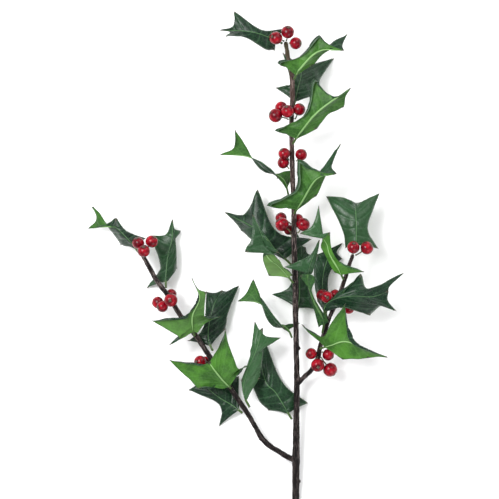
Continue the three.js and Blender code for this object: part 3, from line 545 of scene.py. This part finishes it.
# ---- berries ----
# Each has its middle, its radius, the foot of its stalk on the wood and, where that isn't
# straight away from the stalk, the way that its calyx faces.
BERRIES = dict(
    top=[
        ([-15.8, 380.8, 51.5], 5, [-9.4, 378.4, 43.6]),
        ([-6.4, 385.6, 50], 5, [-7.4, 378.8, 44]),
        ([0, 376.8, 46], 4.7, [-5.2, 377, 43]),
    ],
    main=[
        ([-11.6, 325.6, 33], 4.8, [-5.8, 318.8, 35.6]),
        ([-16, 319.2, 41], 5.4, [-5.8, 316, 37.4]),
        ([-6.4, 322.4, 45], 5, [-4.4, 314.6, 39]),
        ([2.8, 324, 40.8], 4.8, [-0.6, 316.4, 37.2]),
        ([-9.2, 288.8, 38], 4.6, [-5.4, 283.6, 34.6]),
        ([-9.8, 281.6, 31.5], 4.6, [-5.4, 276.6, 31.6]),
        ([4.4, 288, 34], 4.6, [0.2, 282.8, 33.2]),
        ([-10.8, 232.4, 31], 5.3, [-3.8, 226, 28]),
        ([-11.6, 237.6, 22], 4.4, [-3.6, 232.6, 25.6]),
        ([6, 232.4, 30], 5.2, [1.8, 225.6, 27.4]),
        ([2, 236.8, 21], 4, [0.8, 230.4, 25.2]),
        ([-5.2, 228, 21], 4, [-2.8, 221.6, 24]),
    ],
    right=[
        ([46, 214, 41], 4.8, [45.6, 208.6, 35.6]),
        ([56.8, 213.6, 39], 5, [47.8, 207.8, 34]),
        ([21.2, 176, 21.4], 4.6, [29.4, 169.4, 25.6]),
        ([25, 174.4, 31.4], 4.6, [31.2, 172.8, 28.4], [0.1, -0.1, 1]),
        ([31.6, 176, 21.3], 4.4, [31.6, 169, 23]),
        ([42.4, 165.6, 25.4], 4.5, [33.2, 167, 26.4]),
        ([12.4, 129.2, 22.2], 4.4, [15.2, 127.8, 20.7]),
        ([26, 128.4, 21], 4.6, [21.2, 130.8, 19.8]),
        ([17.6, 120, 24.4], 5.2, [17.6, 127.2, 21.3], [0.05, -0.35, 1]),
        ([27.6, 116.4, 20], 5.5, [20.4, 126.6, 18.8]),
    ],
    left=[
        ([-125.6, 217.6, 33], 4.6, [-123.4, 209.4, 28.6]),
        ([-114.8, 218.8, 34], 4.8, [-121.2, 209.6, 27.6]),
        ([-121.2, 211.2, 39], 4.8, [-120.8, 206.6, 28.8], [0, 0.75, 0.8]),
        ([-110, 170, 19.8], 4.6, [-102.6, 171.4, 21.2]),
        ([-106.4, 166.8, 28], 4.4, [-99.4, 168, 23.6]),
        ([-99.6, 172, 34], 5.2, [-99.2, 173.6, 25], [-0.1, -0.1, 1]),
        ([-99.2, 176.8, 16.8], 4, [-99, 172.4, 19]),
        ([-76.2, 122.8, 27.5], 4.8, [-68.6, 122.6, 18.8]),
        ([-72.4, 122.8, 12.6], 4, [-68.4, 121.4, 14.8]),
    ],
)


# ---- curves ----
def spline(points, t):
    """Points at t, from 0 to 1, of the even Catmull-Rom curve through points."""
    points = np.asarray(points, float)
    before = 2 * points[0] - points[1]
    after = 2 * points[-1] - points[-2]
    padded = np.vstack([before, points, after])
    spot = np.asarray(t, float) * (len(points) - 1)
    k = np.clip(np.floor(spot).astype(int), 0, len(points) - 2)
    w = (spot - k)[:, None]
    p0, p1, p2, p3 = (padded[k + i] for i in range(4))
    out, into = (p2 - p0) / 2, (p3 - p1) / 2
    return p1 + out * w + (3 * (p2 - p1) - 2 * out - into) * w**2 + (2 * (p1 - p2) + out + into) * w**3


def unit(vectors):
    length = np.linalg.norm(vectors, axis=-1, keepdims=True)
    return vectors / np.maximum(length, NOTHING)


class Run:
    """A curve that is read by the share of its length."""

    steps = 200
    reach = 1e-4

    def __init__(self, points):
        self.points = points
        self.t = np.linspace(0, 1, self.steps + 1)
        gone = np.linalg.norm(np.diff(spline(self.points, self.t), axis=0), axis=1)
        self.length = gone.sum()
        self.share = np.concatenate([[0], np.cumsum(gone)]) / self.length

    def t_at(self, share):
        return np.interp(share, self.share, self.t)

    def at(self, share):
        return spline(self.points, self.t_at(share))

    def along(self, share):
        t = self.t_at(share)
        ahead = np.minimum(t + self.reach, 1)
        behind = np.maximum(t - self.reach, 0)
        return unit(spline(self.points, ahead) - spline(self.points, behind))


def smooth(low, high, value):
    """0 at low, 1 at high and an even rise between them. low may be the larger of the two."""
    t = np.clip((value - low) / (high - low), 0, 1)
    return t * t * (3 - 2 * t)


def bell(distance, width):
    return np.exp(-((distance / width) ** 2))


def basis(way):
    """way and two directions square to it and to each other."""
    way = unit(np.asarray(way, float))
    side = np.cross(way, UP)
    if np.linalg.norm(side) < 0.1:  # way is all but upright
        side = np.cross(way, ASIDE)
    side = unit(side)
    return way, side, np.cross(way, side)


# ---- closed forms ----
class Form:
    """Points, faces and the number of each face's material, gathered from closed forms."""

    def __init__(self):
        self.points, self.faces, self.kinds, self.count = [], [], [], 0

    def add(self, points, faces, kind=0):
        self.points.append(points)
        self.faces.extend(tuple(k + self.count for k in face) for face in faces)
        self.kinds += kind if isinstance(kind, list) else [kind] * len(faces)
        self.count += len(points)


def band(start, rings, around):
    """Faces between the rings of points that follow each other from start."""
    faces = []
    for first in range(start, start + (rings - 1) * around, around):
        for k in range(around):
            a, b = first + k, first + (k + 1) % around
            faces.append((a, b, b + around, a + around))
    return faces


def circle(around):
    turn = np.arange(around) * 2 * math.pi / around
    return turn, np.cos(turn)[:, None], np.sin(turn)[:, None]


def tube(middles, radii, sides):
    """A closed round rod through middles."""
    along = unit(np.gradient(middles, axis=0))
    side = np.empty_like(along)
    side[0] = basis(along[0])[1]
    for k in range(1, len(along)):
        side[k] = unit(side[k - 1] - along[k] * np.dot(side[k - 1], along[k]))
    other = np.cross(along, side)
    _, cosine, sine = circle(sides)
    ring = cosine * side[:, None] + sine * other[:, None]
    points = (middles[:, None] + ring * radii[:, None, None]).reshape(-1, 3)
    faces = band(0, len(middles), sides)
    faces.append(tuple(reversed(range(sides))))
    faces.append(tuple(range(len(points) - sides, len(points))))
    return points, faces


def lathe(centre, way, radii, heights, around, lobes=0, depth=0.0):
    """A closed form turned about way. With lobes, its outline has that many points."""
    way, side, other = basis(way)
    turn, cosine, sine = circle(around)
    ring = (cosine * side + sine * other) * (1 + depth * np.cos(lobes * turn))[:, None]
    body = centre + way * heights[1:-1, None, None] + ring * radii[1:-1, None, None]
    points = np.vstack([centre + way * heights[0], body.reshape(-1, 3), centre + way * heights[-1]])
    last = len(points) - 1
    faces = band(1, len(radii) - 2, around)
    for k in range(around):
        after = (k + 1) % around
        faces.append((0, 1 + after, 1 + k))
        faces.append((last, last - around + k, last - around + after))
    return points, faces


def egg(centre, way, radius, width, height, down, around):
    angle = np.linspace(0, math.pi, down + 1)
    return lathe(centre, way, radius * width * np.sin(angle), radius * height * np.cos(angle), around)


# ---- pieces ----
def link(obj):
    bpy.context.scene.collection.objects.link(obj)
    return obj


def piece(node, points, faces, materials, kinds, numbers):
    """The fine piece that stands for a CAD node. points are in mm from the foot of the stem."""
    mesh = bpy.data.meshes.new(node + "_fine")
    mesh.from_pydata(((points + PLACE) * MM).tolist(), [], faces)
    for material in materials:
        mesh.materials.append(material)
    mesh.polygons.foreach_set("material_index", kinds)
    mesh.polygons.foreach_set("use_smooth", [True] * len(faces))
    for name, values in numbers.items():
        made = mesh.attributes.new(name, "FLOAT", "POINT")
        made.data.foreach_set("value", np.asarray(values, np.float32))
    mesh.update()
    obj = link(bpy.data.objects.new(node + "_fine", mesh))
    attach(obj, "root")
    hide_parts(node)


# ---- leaves ----
def margin(side, rib, stalk_end, tip_end, shares):
    """Where one side's margin lies at each share of the midrib, as in the solid leaf."""
    stops = [LEAF_STALK_END, *side["veins"], 1]
    ends = [stalk_end, np.array(side["basal"]), np.array(side["far"]), tip_end]
    found = np.empty((len(shares), 3))
    for k, (name, depth) in enumerate(BETWEEN_SPINES.items()):
        start, stop = stops[k : k + 2]
        if side[name]:
            bends = np.atleast_2d(side[name])
        else:
            half_way = (ends[k] + ends[k + 1]) / 2
            bends = [half_way + (rib.at([(start + stop) / 2])[0] - half_way) * depth]
        inside = (shares >= start - NOTHING) & (shares <= stop + NOTHING)
        t = (shares[inside] - start) / (stop - start)
        found[inside] = spline([ends[k], *bends, ends[k + 1]], np.clip(t, 0, 1))
    return found


class LeafLines:
    """A leaf's midrib and both margins, row by row, and each row's share of the midrib."""

    def __init__(self, leaf):
        self.rib = Run(leaf["midrib"])
        stops = sorted({0, LEAF_STALK_END, 1, *leaf["left"]["veins"], *leaf["right"]["veins"]})
        shares = [0.0]
        for a, b in zip(stops, stops[1:]):
            steps = max(LEAF_FEWEST_ROWS, round((b - a) * LEAF_ROWS))
            shares.extend(a + (b - a) * np.arange(1, steps + 1) / steps)
        self.shares = np.array(shares)
        self.ribs = self.rib.at(self.shares)
        self.margins = {}
        stalk = self.shares <= LEAF_STALK_END
        stalk_out = self.out_at(leaf, self.shares[stalk], "basal") * LEAF_STALK
        end_out = self.out_at(leaf, np.array([1.0]), "far")[0] * LEAF_TIP_WIDTH
        for side, sign in SIDES.items():
            found = np.empty_like(self.ribs)
            found[stalk] = self.ribs[stalk] + sign * stalk_out
            stalk_end, tip_end = found[stalk][-1], self.ribs[-1] + sign * end_out
            found[~stalk] = margin(leaf[side], self.rib, stalk_end, tip_end, self.shares[~stalk])
            self.margins[side] = found

    def out_at(self, leaf, share, spine):
        """The way from left to right, square to the midrib, as the two given spines lie."""
        way = self.rib.along(share)
        wide = np.subtract(leaf["right"][spine], leaf["left"][spine])[None, :]
        return unit(wide - way * np.sum(way * wide, axis=1, keepdims=True))

    def spine_at(self, line, share):
        """Where the spine at share of a margin stands, and the way that it points."""
        k = int(np.argmin(np.abs(self.shares - share)))
        behind, ahead = line[max(k - SPINE_ROWS, 0)], line[min(k + SPINE_ROWS, len(line) - 1)]
        way = line[k] - (behind + ahead) / 2
        if np.linalg.norm(way) < SPINE_BLUNT:
            way = line[k] - self.ribs[k]
        return line[k], unit(way)

    def all_spines(self, leaf):
        found = [(self.ribs[-1], self.rib.along(np.array([1.0]))[0])]
        for side, line in self.margins.items():
            found += [self.spine_at(line, share) for share in leaf[side]["veins"]]
        return found


def columns_of(width):
    """Shares of the half width, close together by the midrib. width is each row's half width."""
    inner = len(RIB_COLUMNS)
    near = np.minimum(np.array(RIB_COLUMNS)[None, :] / width[:, None],
                      (np.arange(inner) + 1)[None, :] / LEAF_COLUMNS)
    rest = (np.arange(LEAF_COLUMNS - inner) + 1) / (LEAF_COLUMNS - inner)
    return np.hstack([near, near[:, -1:] + (1 - near[:, -1:]) * rest])


def normals_of(grid):
    return unit(np.cross(np.gradient(grid, axis=1), np.gradient(grid, axis=0)))


def waves(grid):
    """An uneven swell over the blade, from about -1 to 1."""
    found = [noise.noise(Vector(spot)) for spot in grid.reshape(-1, 3) / WAVE_LENGTH]
    return 2 * np.array(found).reshape(grid.shape[:2])


class Blade:
    """The middle sheet of a leaf, in rows along the midrib and columns across it.

    For each point, along is its share of the midrib and out its share of the half width, width is
    the half width there, phase counts the side veins that it is past, blade goes from 0 on the
    stalk to 1 on the blade, and lipped from 0 to 1 where the margin is rolled over.
    """

    def __init__(self, lines, lip):
        shape = len(lines.shares), 2 * LEAF_COLUMNS + 1
        self.out, self.width, self.lipped = np.zeros(shape), np.empty(shape), np.zeros(shape)
        self.along = np.repeat(lines.shares[:, None], shape[1], axis=1)
        self.blade = smooth(LEAF_STALK_END, LEAF_BLADE_START, self.along)
        self.grid = np.repeat(lines.ribs[:, None, :], shape[1], axis=1)
        for side, line in lines.margins.items():
            picked = self.columns(side)
            half = np.maximum(np.linalg.norm(line - lines.ribs, axis=1), LEAF_LEAST_WIDTH)
            self.width[:, picked] = half[:, None]
            self.out[:, picked] = columns_of(half)
            self.grid[:, picked] += (line - lines.ribs)[:, None] * self.out[:, picked, None]
        self.width[:, LEAF_COLUMNS] = (self.width[:, LEAF_COLUMNS - 1] + self.width[:, LEAF_COLUMNS + 1]) / 2
        self.phase = self.along * VEIN_SPACES - self.out * VEIN_SWEEP
        if lip:
            self.roll_over(lines, *lip)
        self.grid = self.grid + normals_of(self.grid) * (self.relief() * self.blade)[:, :, None]

    def columns(self, side):
        return LEAF_COLUMNS + SIDES[side] * np.arange(1, LEAF_COLUMNS + 1)

    def roll_over(self, lines, side, start, stop, reach):
        """Rolls one margin over the underside between start and stop of the midrib."""
        picked = self.columns(side)
        flat, share = self.grid[:, picked], self.out[:, picked]
        up, along = normals_of(self.grid)[:, picked], self.along[:, picked]
        lipped = smooth(start, start + LIP_EASE, along) * smooth(stop, stop - LIP_EASE, along)
        wide = lines.margins[side] - lines.ribs
        half = np.linalg.norm(wide, axis=1)[:, None]
        out = wide[:, None] / np.maximum(half, LEAF_LEAST_WIDTH)[:, :, None]
        fold = np.minimum(reach, LIP_WIDEST * half)
        inner = np.minimum(share / (1 - LIP_SHARE), 1) * (half - fold)
        turn = np.clip((share - (1 - LIP_SHARE)) / LIP_SHARE, 0, 1) * LIP_TURN
        aside = inner + fold * np.sin(turn)
        over = LIP_FLAT * fold * (1 - np.cos(turn))
        rolled = lines.ribs[:, None] + out * aside[:, :, None] - up * over[:, :, None]
        self.lipped[:, picked] = lipped
        self.grid[:, picked] = flat + (rolled - flat) * lipped[:, :, None]

    def relief(self):
        """How far each point lies to the upper side: the bulge, roll, side veins and waves."""
        vein = bell(self.phase - np.round(self.phase), VEIN_NARROW) * smooth(*VEIN_FADE, self.out)
        rolls = np.minimum(self.width / ROLL_FULL_WIDTH, 1)
        waving = np.minimum(self.width / WAVE_FULL_WIDTH, 1) * smooth(0, WAVE_START, self.out)
        found = PILLOW * np.minimum(self.width, PILLOW_WIDEST) * np.sin(math.pi * self.out)
        found *= smooth(1.0, LEAF_TIP_START, self.along)
        found -= ROLL * smooth(ROLL_FROM, ROLL_TO, self.out) * rolls * (1 - self.lipped)
        found -= VEIN_DEPTH * vein * rolls * smooth(0, VEIN_START, self.out)
        return found + WAVE_HEIGHT * waves(self.grid) * waving

    def skins(self):
        """The points of the upper side and the underside, and what their colours are read from."""
        from_rib = self.out * self.width
        slender = np.clip(self.width / RIB_FULL_WIDTH, RIB_LEAST, 1)
        ridge = bell(from_rib, RIB_WIDTH * slender)
        taper_start, taper_loss = RIB_TAPER
        rib = ridge * (1 - taper_loss * smooth(taper_start, 1, self.along)) * slender
        rim = np.sqrt(np.clip((self.width - from_rib) / RIM_ROUND, 0, 1))
        thick = (RIM_THICK + (BLADE_THICK - RIM_THICK) * rim) / 2
        round_stalk = LEAF_STALK_THICK / 2 * np.sqrt(np.clip(1 - self.out**2, LEAF_STALK_ROUND, 1))
        stalk = 1 - self.blade
        above = self.blade * (thick - RIB_GROOVE * rib) + stalk * round_stalk
        below = self.blade * (thick + RIB_HEIGHT * rib) + stalk * round_stalk
        up = normals_of(self.grid)
        points = [self.grid + up * above[:, :, None], self.grid - up * below[:, :, None]]
        return points, dict(phase=self.phase, rib=ridge, rim=self.out * self.blade, stalk=stalk)


def leaf_faces(rows, wide):
    """Faces of the upper skin, then of the lower skin and the edge between them, and their kinds."""
    upper, lower = [], []
    below, last = rows * wide, (rows - 1) * wide
    for first in range(0, last, wide):
        for a in range(first, first + wide - 1):
            b = a + wide
            upper.append((a, a + 1, b + 1, b))
            lower.append((b + below, b + 1 + below, a + 1 + below, a + below))
    edges = [(j, j + 1) for j in range(wide - 1)]
    edges += [(last + j + 1, last + j) for j in range(wide - 1)]
    edges += [(first + wide, first) for first in range(0, last, wide)]
    edges += [(first + wide - 1, first + 2 * wide - 1) for first in range(0, last, wide)]
    lower += [(b, a, a + below, b + below) for a, b in edges]
    return upper + lower, [0] * len(upper) + [1] * len(lower)


def needle(spot, way):
    steps = np.linspace(-SPINE_LENGTH, SPINE_PAST, SPINE_STEPS)
    start, stop = SPINE_TAPER
    taper = smooth(-SPINE_LENGTH * start, SPINE_PAST * stop, steps)
    radii = SPINE_RADIUS * (1 - taper) + SPINE_POINT
    radii[0] = SPINE_POINT
    return tube(spot + steps[:, None] * way, radii, SPINE_SIDES)


def fine_leaf(node, leaf):
    lines = LeafLines(leaf)
    skins, numbers = Blade(lines, leaf.get("lip")).skins()
    blade = np.vstack([skin.reshape(-1, 3) for skin in skins])
    form = Form()
    form.add(blade, *leaf_faces(*skins[0].shape[:2]))
    spines = lines.all_spines(leaf)
    for spot, way in spines:
        form.add(*needle(spot, way), 2)
    needles = form.count - len(blade)
    numbers = {name: np.pad(np.tile(values.ravel(), 2), (0, needles)) for name, values in numbers.items()}
    spots = np.array([spot for spot, _ in spines])
    gap = np.linalg.norm(blade[:, None] - spots, axis=2).min(axis=1)
    numbers["horn"] = np.pad(bell(gap, HORN_REACH), (0, needles), constant_values=1)
    # A leaf's tone: partly its own colour, partly painted light on its upper side and painted shade on its
    # underside.
    for word, share in zip(("young_and_lit", "old_and_shaded", "pale"), leaf.get("tone", PLAIN_TONE)):
        numbers[word] = np.full(form.count, share)
    looks = [leaf_upper, leaf_under, leaf_spine]
    piece(node, np.vstack(form.points), form.faces, looks, form.kinds, numbers)


# ---- berries ----
def berry_stalk_line(at, foot, radius):
    """Middles and radii of a berry's stalk, which sags a little to one side."""
    share = np.linspace(0, 1, BERRY_STALK_STEPS)
    way = unit(at - foot)
    end = at - way * radius * BERRY_STALK_DEPTH
    sag = np.cross(way, UP) * BERRY_STALK_SAG
    flare = sum(more * smooth(start, stop, share) for start, stop, more in BERRY_STALK_FLARES)
    middles = foot + (end - foot) * share[:, None] + sag * np.sin(math.pi * share)[:, None]
    return middles, BERRY_STALK * (1 + flare)


def fine_berry(node, at, radius, foot, eye=None):
    at, foot = np.array(at, float), np.array(foot, float)
    radius = radius * BERRY_PLUMP
    eye = eye or at - foot
    eye_dimple, stalk_dimple = BERRY_DIMPLES
    angle = np.linspace(0, math.pi, BERRY_DOWN + 1)
    dimple = eye_dimple * bell(angle, BERRY_DIMPLE_WIDTH)
    dimple += stalk_dimple * bell(math.pi - angle, BERRY_DIMPLE_WIDTH)
    reach = radius * (1 - dimple)
    form = Form()
    form.add(*lathe(at, eye, reach * np.sin(angle), reach * np.cos(angle) * BERRY_SQUASH, BERRY_AROUND), 0)
    pole = np.concatenate([[0], np.repeat(angle[1:-1], BERRY_AROUND), [math.pi]])
    cap_radii, cap_heights = np.array(CALYX_PROFILE).T
    cap_heights = cap_heights + radius * (1 - eye_dimple) * BERRY_SQUASH
    cap_radii = cap_radii * CALYX_RADIUS
    form.add(*lathe(at, eye, cap_radii, cap_heights, CALYX_AROUND, CALYX_LOBES, CALYX_LOBE_DEPTH), 1)
    form.add(*tube(*berry_stalk_line(at, foot, radius), BERRY_STALK_SIDES), 2)
    numbers = dict(pole=np.pad(pole, (0, form.count - len(pole))))
    looks = [berry_skin, calyx, berry_twig]
    piece(node, np.vstack(form.points), form.faces, looks, form.kinds, numbers)


# ---- wood ----
def wood_line(route):
    """Middles and radii along a stem, and how far along it each one is."""
    route = np.array(route, float)
    run = Run(route[:, :3])
    steps = max(STEM_FEWEST_STEPS, round(run.length / STEM_STEP))
    share = np.linspace(0, 1, steps + 1)
    radii = spline(route[:, 3:], run.t_at(share))[:, 0]
    return run.at(share), radii, share * run.length


def grown_together(form):
    """Points, normals and faces of the one smooth skin round all of the closed forms."""
    rough = bpy.data.meshes.new("rough")
    rough.from_pydata(np.vstack(form.points).tolist(), [], form.faces)
    holder = link(bpy.data.objects.new("rough", rough))
    grow = holder.modifiers.new("skin", "REMESH")
    grow.mode = "VOXEL"
    grow.voxel_size = STEM_VOXEL
    soft = holder.modifiers.new("soft", "SMOOTH")
    soft.factor, soft.iterations = STEM_SMOOTHING
    made = holder.evaluated_get(bpy.context.evaluated_depsgraph_get()).to_mesh()
    read = {}
    for word in ("co", "normal"):
        flat = np.empty(len(made.vertices) * 3)
        made.vertices.foreach_get(word, flat)
        read[word] = flat.reshape(-1, 3)
    faces = [tuple(face.vertices) for face in made.polygons]
    holder.to_mesh_clear()
    bpy.data.objects.remove(holder)
    bpy.data.meshes.remove(rough)
    return read["co"], read["normal"], faces


def bark_height(across, along_x, run):
    """How far the bark stands out at one place: furrows, knots and slow swells."""
    furrow, furrow_scale = FURROWS
    knot, knot_scale, knot_row, knot_cut = KNOTS
    swell, swell_across, swell_along = SWELLS
    fine = noise.noise(Vector((*across, along_x)) * furrow_scale)
    lump = noise.noise(Vector((run * knot_scale, knot_row, 0)))
    slow = noise.noise(Vector((across[0] * swell_across, across[1] * swell_across, run * swell_along)))
    return furrow * fine + knot * max(lump - knot_cut, 0) + swell * slow


def fine_stem():
    form = Form()
    middles, distances = [], []
    for k, route in enumerate((MAIN_STEM, LEFT_BRANCH, RIGHT_BRANCH)):
        middle, radii, distance = wood_line(route)
        form.add(*tube(middle, radii, STEM_SIDES))
        form.add(*egg(middle[-1], middle[-1] - middle[-2], radii[-1], **DOME))
        middles.append(middle)
        distances.append(distance + GRAIN_APART * k)
    for *spot, radius in BUDS:
        form.add(*egg(np.array(spot), BUD_WAY, radius, **BUD))
    places, normals, faces = grown_together(form)
    line = np.vstack(middles)
    nearest = np.empty(len(places), int)
    for k in range(0, len(places), LOOKED_UP):
        gaps = np.linalg.norm(places[k : k + LOOKED_UP, None] - line, axis=2)
        nearest[k : k + LOOKED_UP] = np.argmin(gaps, axis=1)
    run = np.concatenate(distances)[nearest]
    across = (places - line[nearest])[:, [0, 2]]
    grain = run * GRAIN_STRETCH
    cut = (places[:, 1] < CUT_END[0]) & (normals[:, 1] < CUT_END[1])
    lift = np.array([bark_height(*spot) for spot in zip(across, grain, run)])
    lift[cut] = 0
    places = places + normals * lift[:, None]
    kinds = [int(all(cut[k] for k in face)) for face in faces]
    numbers = dict(grain_x=across[:, 0], grain_y=across[:, 1], grain_z=grain, low=places[:, 1])
    piece("stem", places, faces, [bark, cut_wood], kinds, numbers)


# ---- materials ----
def linear(colour):
    """A linear colour from screen values between 0 and 255."""
    shares = [value / 255 for value in colour]
    line = [share / 12.92 if share <= 0.04045 else ((share + 0.055) / 1.055) ** 2.4 for share in shares]
    return (*line, 1.0)


class Surface:
    """The node material of a look. Its methods add nodes and give back the socket to read."""

    def __init__(self, name, ground, roughness, specular=None, layers=(), relief=None):
        self.material = bpy.data.materials.new(name)
        self.material.use_nodes = True
        self.tree = self.material.node_tree
        self.place = self.node("TexCoord").outputs["Object"]
        shader = self.tree.nodes["Principled BSDF"].inputs
        first, second, pattern = ground
        colour = self.blend(self.pattern(**pattern), linear(first), linear(second))
        for over, pattern in layers:
            colour = self.blend(self.pattern(**pattern), colour, linear(over))
        self.put(colour, shader["Base Color"])
        rough = self.pattern(**roughness) if isinstance(roughness, dict) else roughness
        self.put(rough, shader["Roughness"])
        if specular is not None:
            self.put(specular, shader["Specular IOR Level"])
        if relief:
            self.tree.links.new(self.bump(*relief), shader["Normal"])

    def node(self, kind, **fixed):
        made = self.tree.nodes.new("ShaderNode" + kind)
        for word, value in fixed.items():
            setattr(made, word, value)
        return made

    def put(self, value, socket):
        if isinstance(value, (int, float, tuple)):
            socket.default_value = value
        else:
            self.tree.links.new(value, socket)

    def number(self, name):
        return self.node("Attribute", attribute_name=name).outputs["Fac"]

    def clouds(self, scale, detail=3.0, rough=0.55, bend=0.0, where=None):
        made = self.node("TexNoise")
        self.put(self.place if where is None else where, made.inputs["Vector"])
        for word, value in (("Scale", scale), ("Detail", detail), ("Roughness", rough), ("Distortion", bend)):
            self.put(value, made.inputs[word])
        return made.outputs["Fac"]

    def grain(self, *settings):
        """Clouds that are drawn out along the wood."""
        joined = self.node("CombineXYZ")
        for name, socket in zip(("grain_x", "grain_y", "grain_z"), joined.inputs):
            self.put(self.number(name), socket)
        return self.clouds(*settings, where=joined.outputs[0])

    def cells(self, scale):
        made = self.node("TexVoronoi", feature="DISTANCE_TO_EDGE")
        self.put(self.place, made.inputs["Vector"])
        self.put(scale, made.inputs["Scale"])
        return made.outputs["Distance"]

    def veins(self, narrow):
        """1 on a side vein, 0 between two of them. The veins wander a little."""
        turned = self.sum("FRACT", self.sum("ADD", self.number("phase"), 0.5))
        off = self.sum("ABSOLUTE", self.sum("SUBTRACT", turned, 0.5))
        wander = self.sum("SUBTRACT", self.clouds(VEIN_WANDER_SCALE), 0.5)
        off = self.sum("ADD", off, self.sum("MULTIPLY", wander, VEIN_WANDER))
        return self.spread(self.sum("ABSOLUTE", off), 0.0, narrow, 1.0, 0.0)

    def sum(self, what, a, b=0.0):
        made = self.node("Math", operation=what)
        self.put(a, made.inputs[0])
        self.put(b, made.inputs[1])
        return made.outputs[0]

    def spread(self, value, low, high, to_low=0.0, to_high=1.0):
        made = self.node("MapRange", interpolation_type="SMOOTHSTEP")
        words = "Value", "From Min", "From Max", "To Min", "To Max"
        for number, word in zip((value, low, high, to_low, to_high), words):
            self.put(number, made.inputs[word])
        return made.outputs["Result"]

    def blend(self, share, first, second):
        made = self.node("Mix", data_type="RGBA")
        for value, word in ((share, "Factor"), (first, "A"), (second, "B")):
            self.put(value, made.inputs[word])
        return made.outputs["Result"]

    def pattern(self, clouds=None, grain=None, cells=None, veins=None, number=None,
                off=None, ramps=(), times=None, share=None):
        if clouds:
            value = self.clouds(*clouds)
        elif grain:
            value = self.grain(*grain)
        elif cells:
            value = self.cells(cells)
        elif veins:
            value = self.veins(veins)
        else:
            value = self.number(number)
        if off is not None:
            value = self.sum("ABSOLUTE", self.sum("SUBTRACT", value, off))
        for ramp in ramps:
            value = self.spread(value, *ramp)
        if times:
            value = self.sum("MULTIPLY", value, self.pattern(**times))
        return value if share is None else self.sum("MULTIPLY", value, share)

    def bump(self, depth, strength, patterns):
        height = self.pattern(**patterns[0])
        for pattern in patterns[1:]:
            height = self.sum("ADD", height, self.pattern(**pattern))
        made = self.node("Bump")
        for value, word in ((depth, "Distance"), (strength, "Strength"), (height, "Height")):
            self.put(value, made.inputs[word])
        return made.outputs["Normal"]


leaf_upper = Surface("leaf_upper", **LEAF_UPPER).material
leaf_under = Surface("leaf_under", **LEAF_UNDER).material
leaf_spine = Surface("leaf_spine", **LEAF_SPINE).material
berry_skin = Surface("berry_skin", **BERRY_SKIN).material
calyx = Surface("calyx", **CALYX).material
berry_twig = Surface("berry_stalk", **BERRY_TWIG).material
bark = Surface("bark", **BARK).material
cut_wood = Surface("cut_wood", **CUT_WOOD).material

# ---- the sprig ----
for name, leaf in LEAVES.items():
    fine_leaf(name, leaf)
for branch, berries in BERRIES.items():
    for number, berry in enumerate(berries, 1):
        fine_berry(f"{branch}_berry_{number}", *berry)
fine_stem()


# ---- table, light and camera ----
def table_top():
    half = TABLE_SIZE / 2
    mesh = bpy.data.meshes.new("table_top")
    corners = [(-half, -half, 0), (half, -half, 0), (half, half, 0), (-half, half, 0)]
    mesh.from_pydata(corners, [], [(0, 1, 2, 3)])
    mesh.materials.append(Surface("table_top", **TABLE).material)
    link(bpy.data.objects.new("table_top", mesh))


def soft_light(name, place, size, power):
    lamp = bpy.data.lights.new(name, "AREA")
    lamp.shape = "DISK"
    lamp.size = size
    lamp.energy = power
    obj = link(bpy.data.objects.new(name, lamp))
    obj.location = place
    obj.rotation_mode = "QUATERNION"
    obj.rotation_quaternion = (-Vector(place)).to_track_quat("-Z", "Y")


def sky(strength):
    world = bpy.data.worlds.new("studio")
    world.use_nodes = True
    back = world.node_tree.nodes["Background"]
    back.inputs["Color"].default_value = (1.0, 1.0, 1.0, 1.0)
    back.inputs["Strength"].default_value = strength
    bpy.context.scene.world = world


def camera():
    """A long lens high over the middle of the sprig, looking straight down."""
    lens = bpy.data.cameras.new("camera")
    lens.lens = CAMERA_LENS
    lens.sensor_width = CAMERA_SENSOR
    lens.dof.use_dof = False
    height = CAMERA_FIELD * CAMERA_LENS / CAMERA_SENSOR
    lens.clip_start = CAMERA_NEAR
    lens.clip_end = CAMERA_FAR * height
    obj = link(bpy.data.objects.new("camera", lens))
    middle = (cad_low + cad_high) / 2
    obj.location = (middle.x + CAMERA_ASIDE[0], middle.y + CAMERA_ASIDE[1], height)
    bpy.context.scene.camera = obj


table_top()
for name, lamp in LAMPS.items():
    soft_light(name, **lamp)
sky(SKY)
camera()
bpy.context.scene.view_settings.view_transform = "Standard"
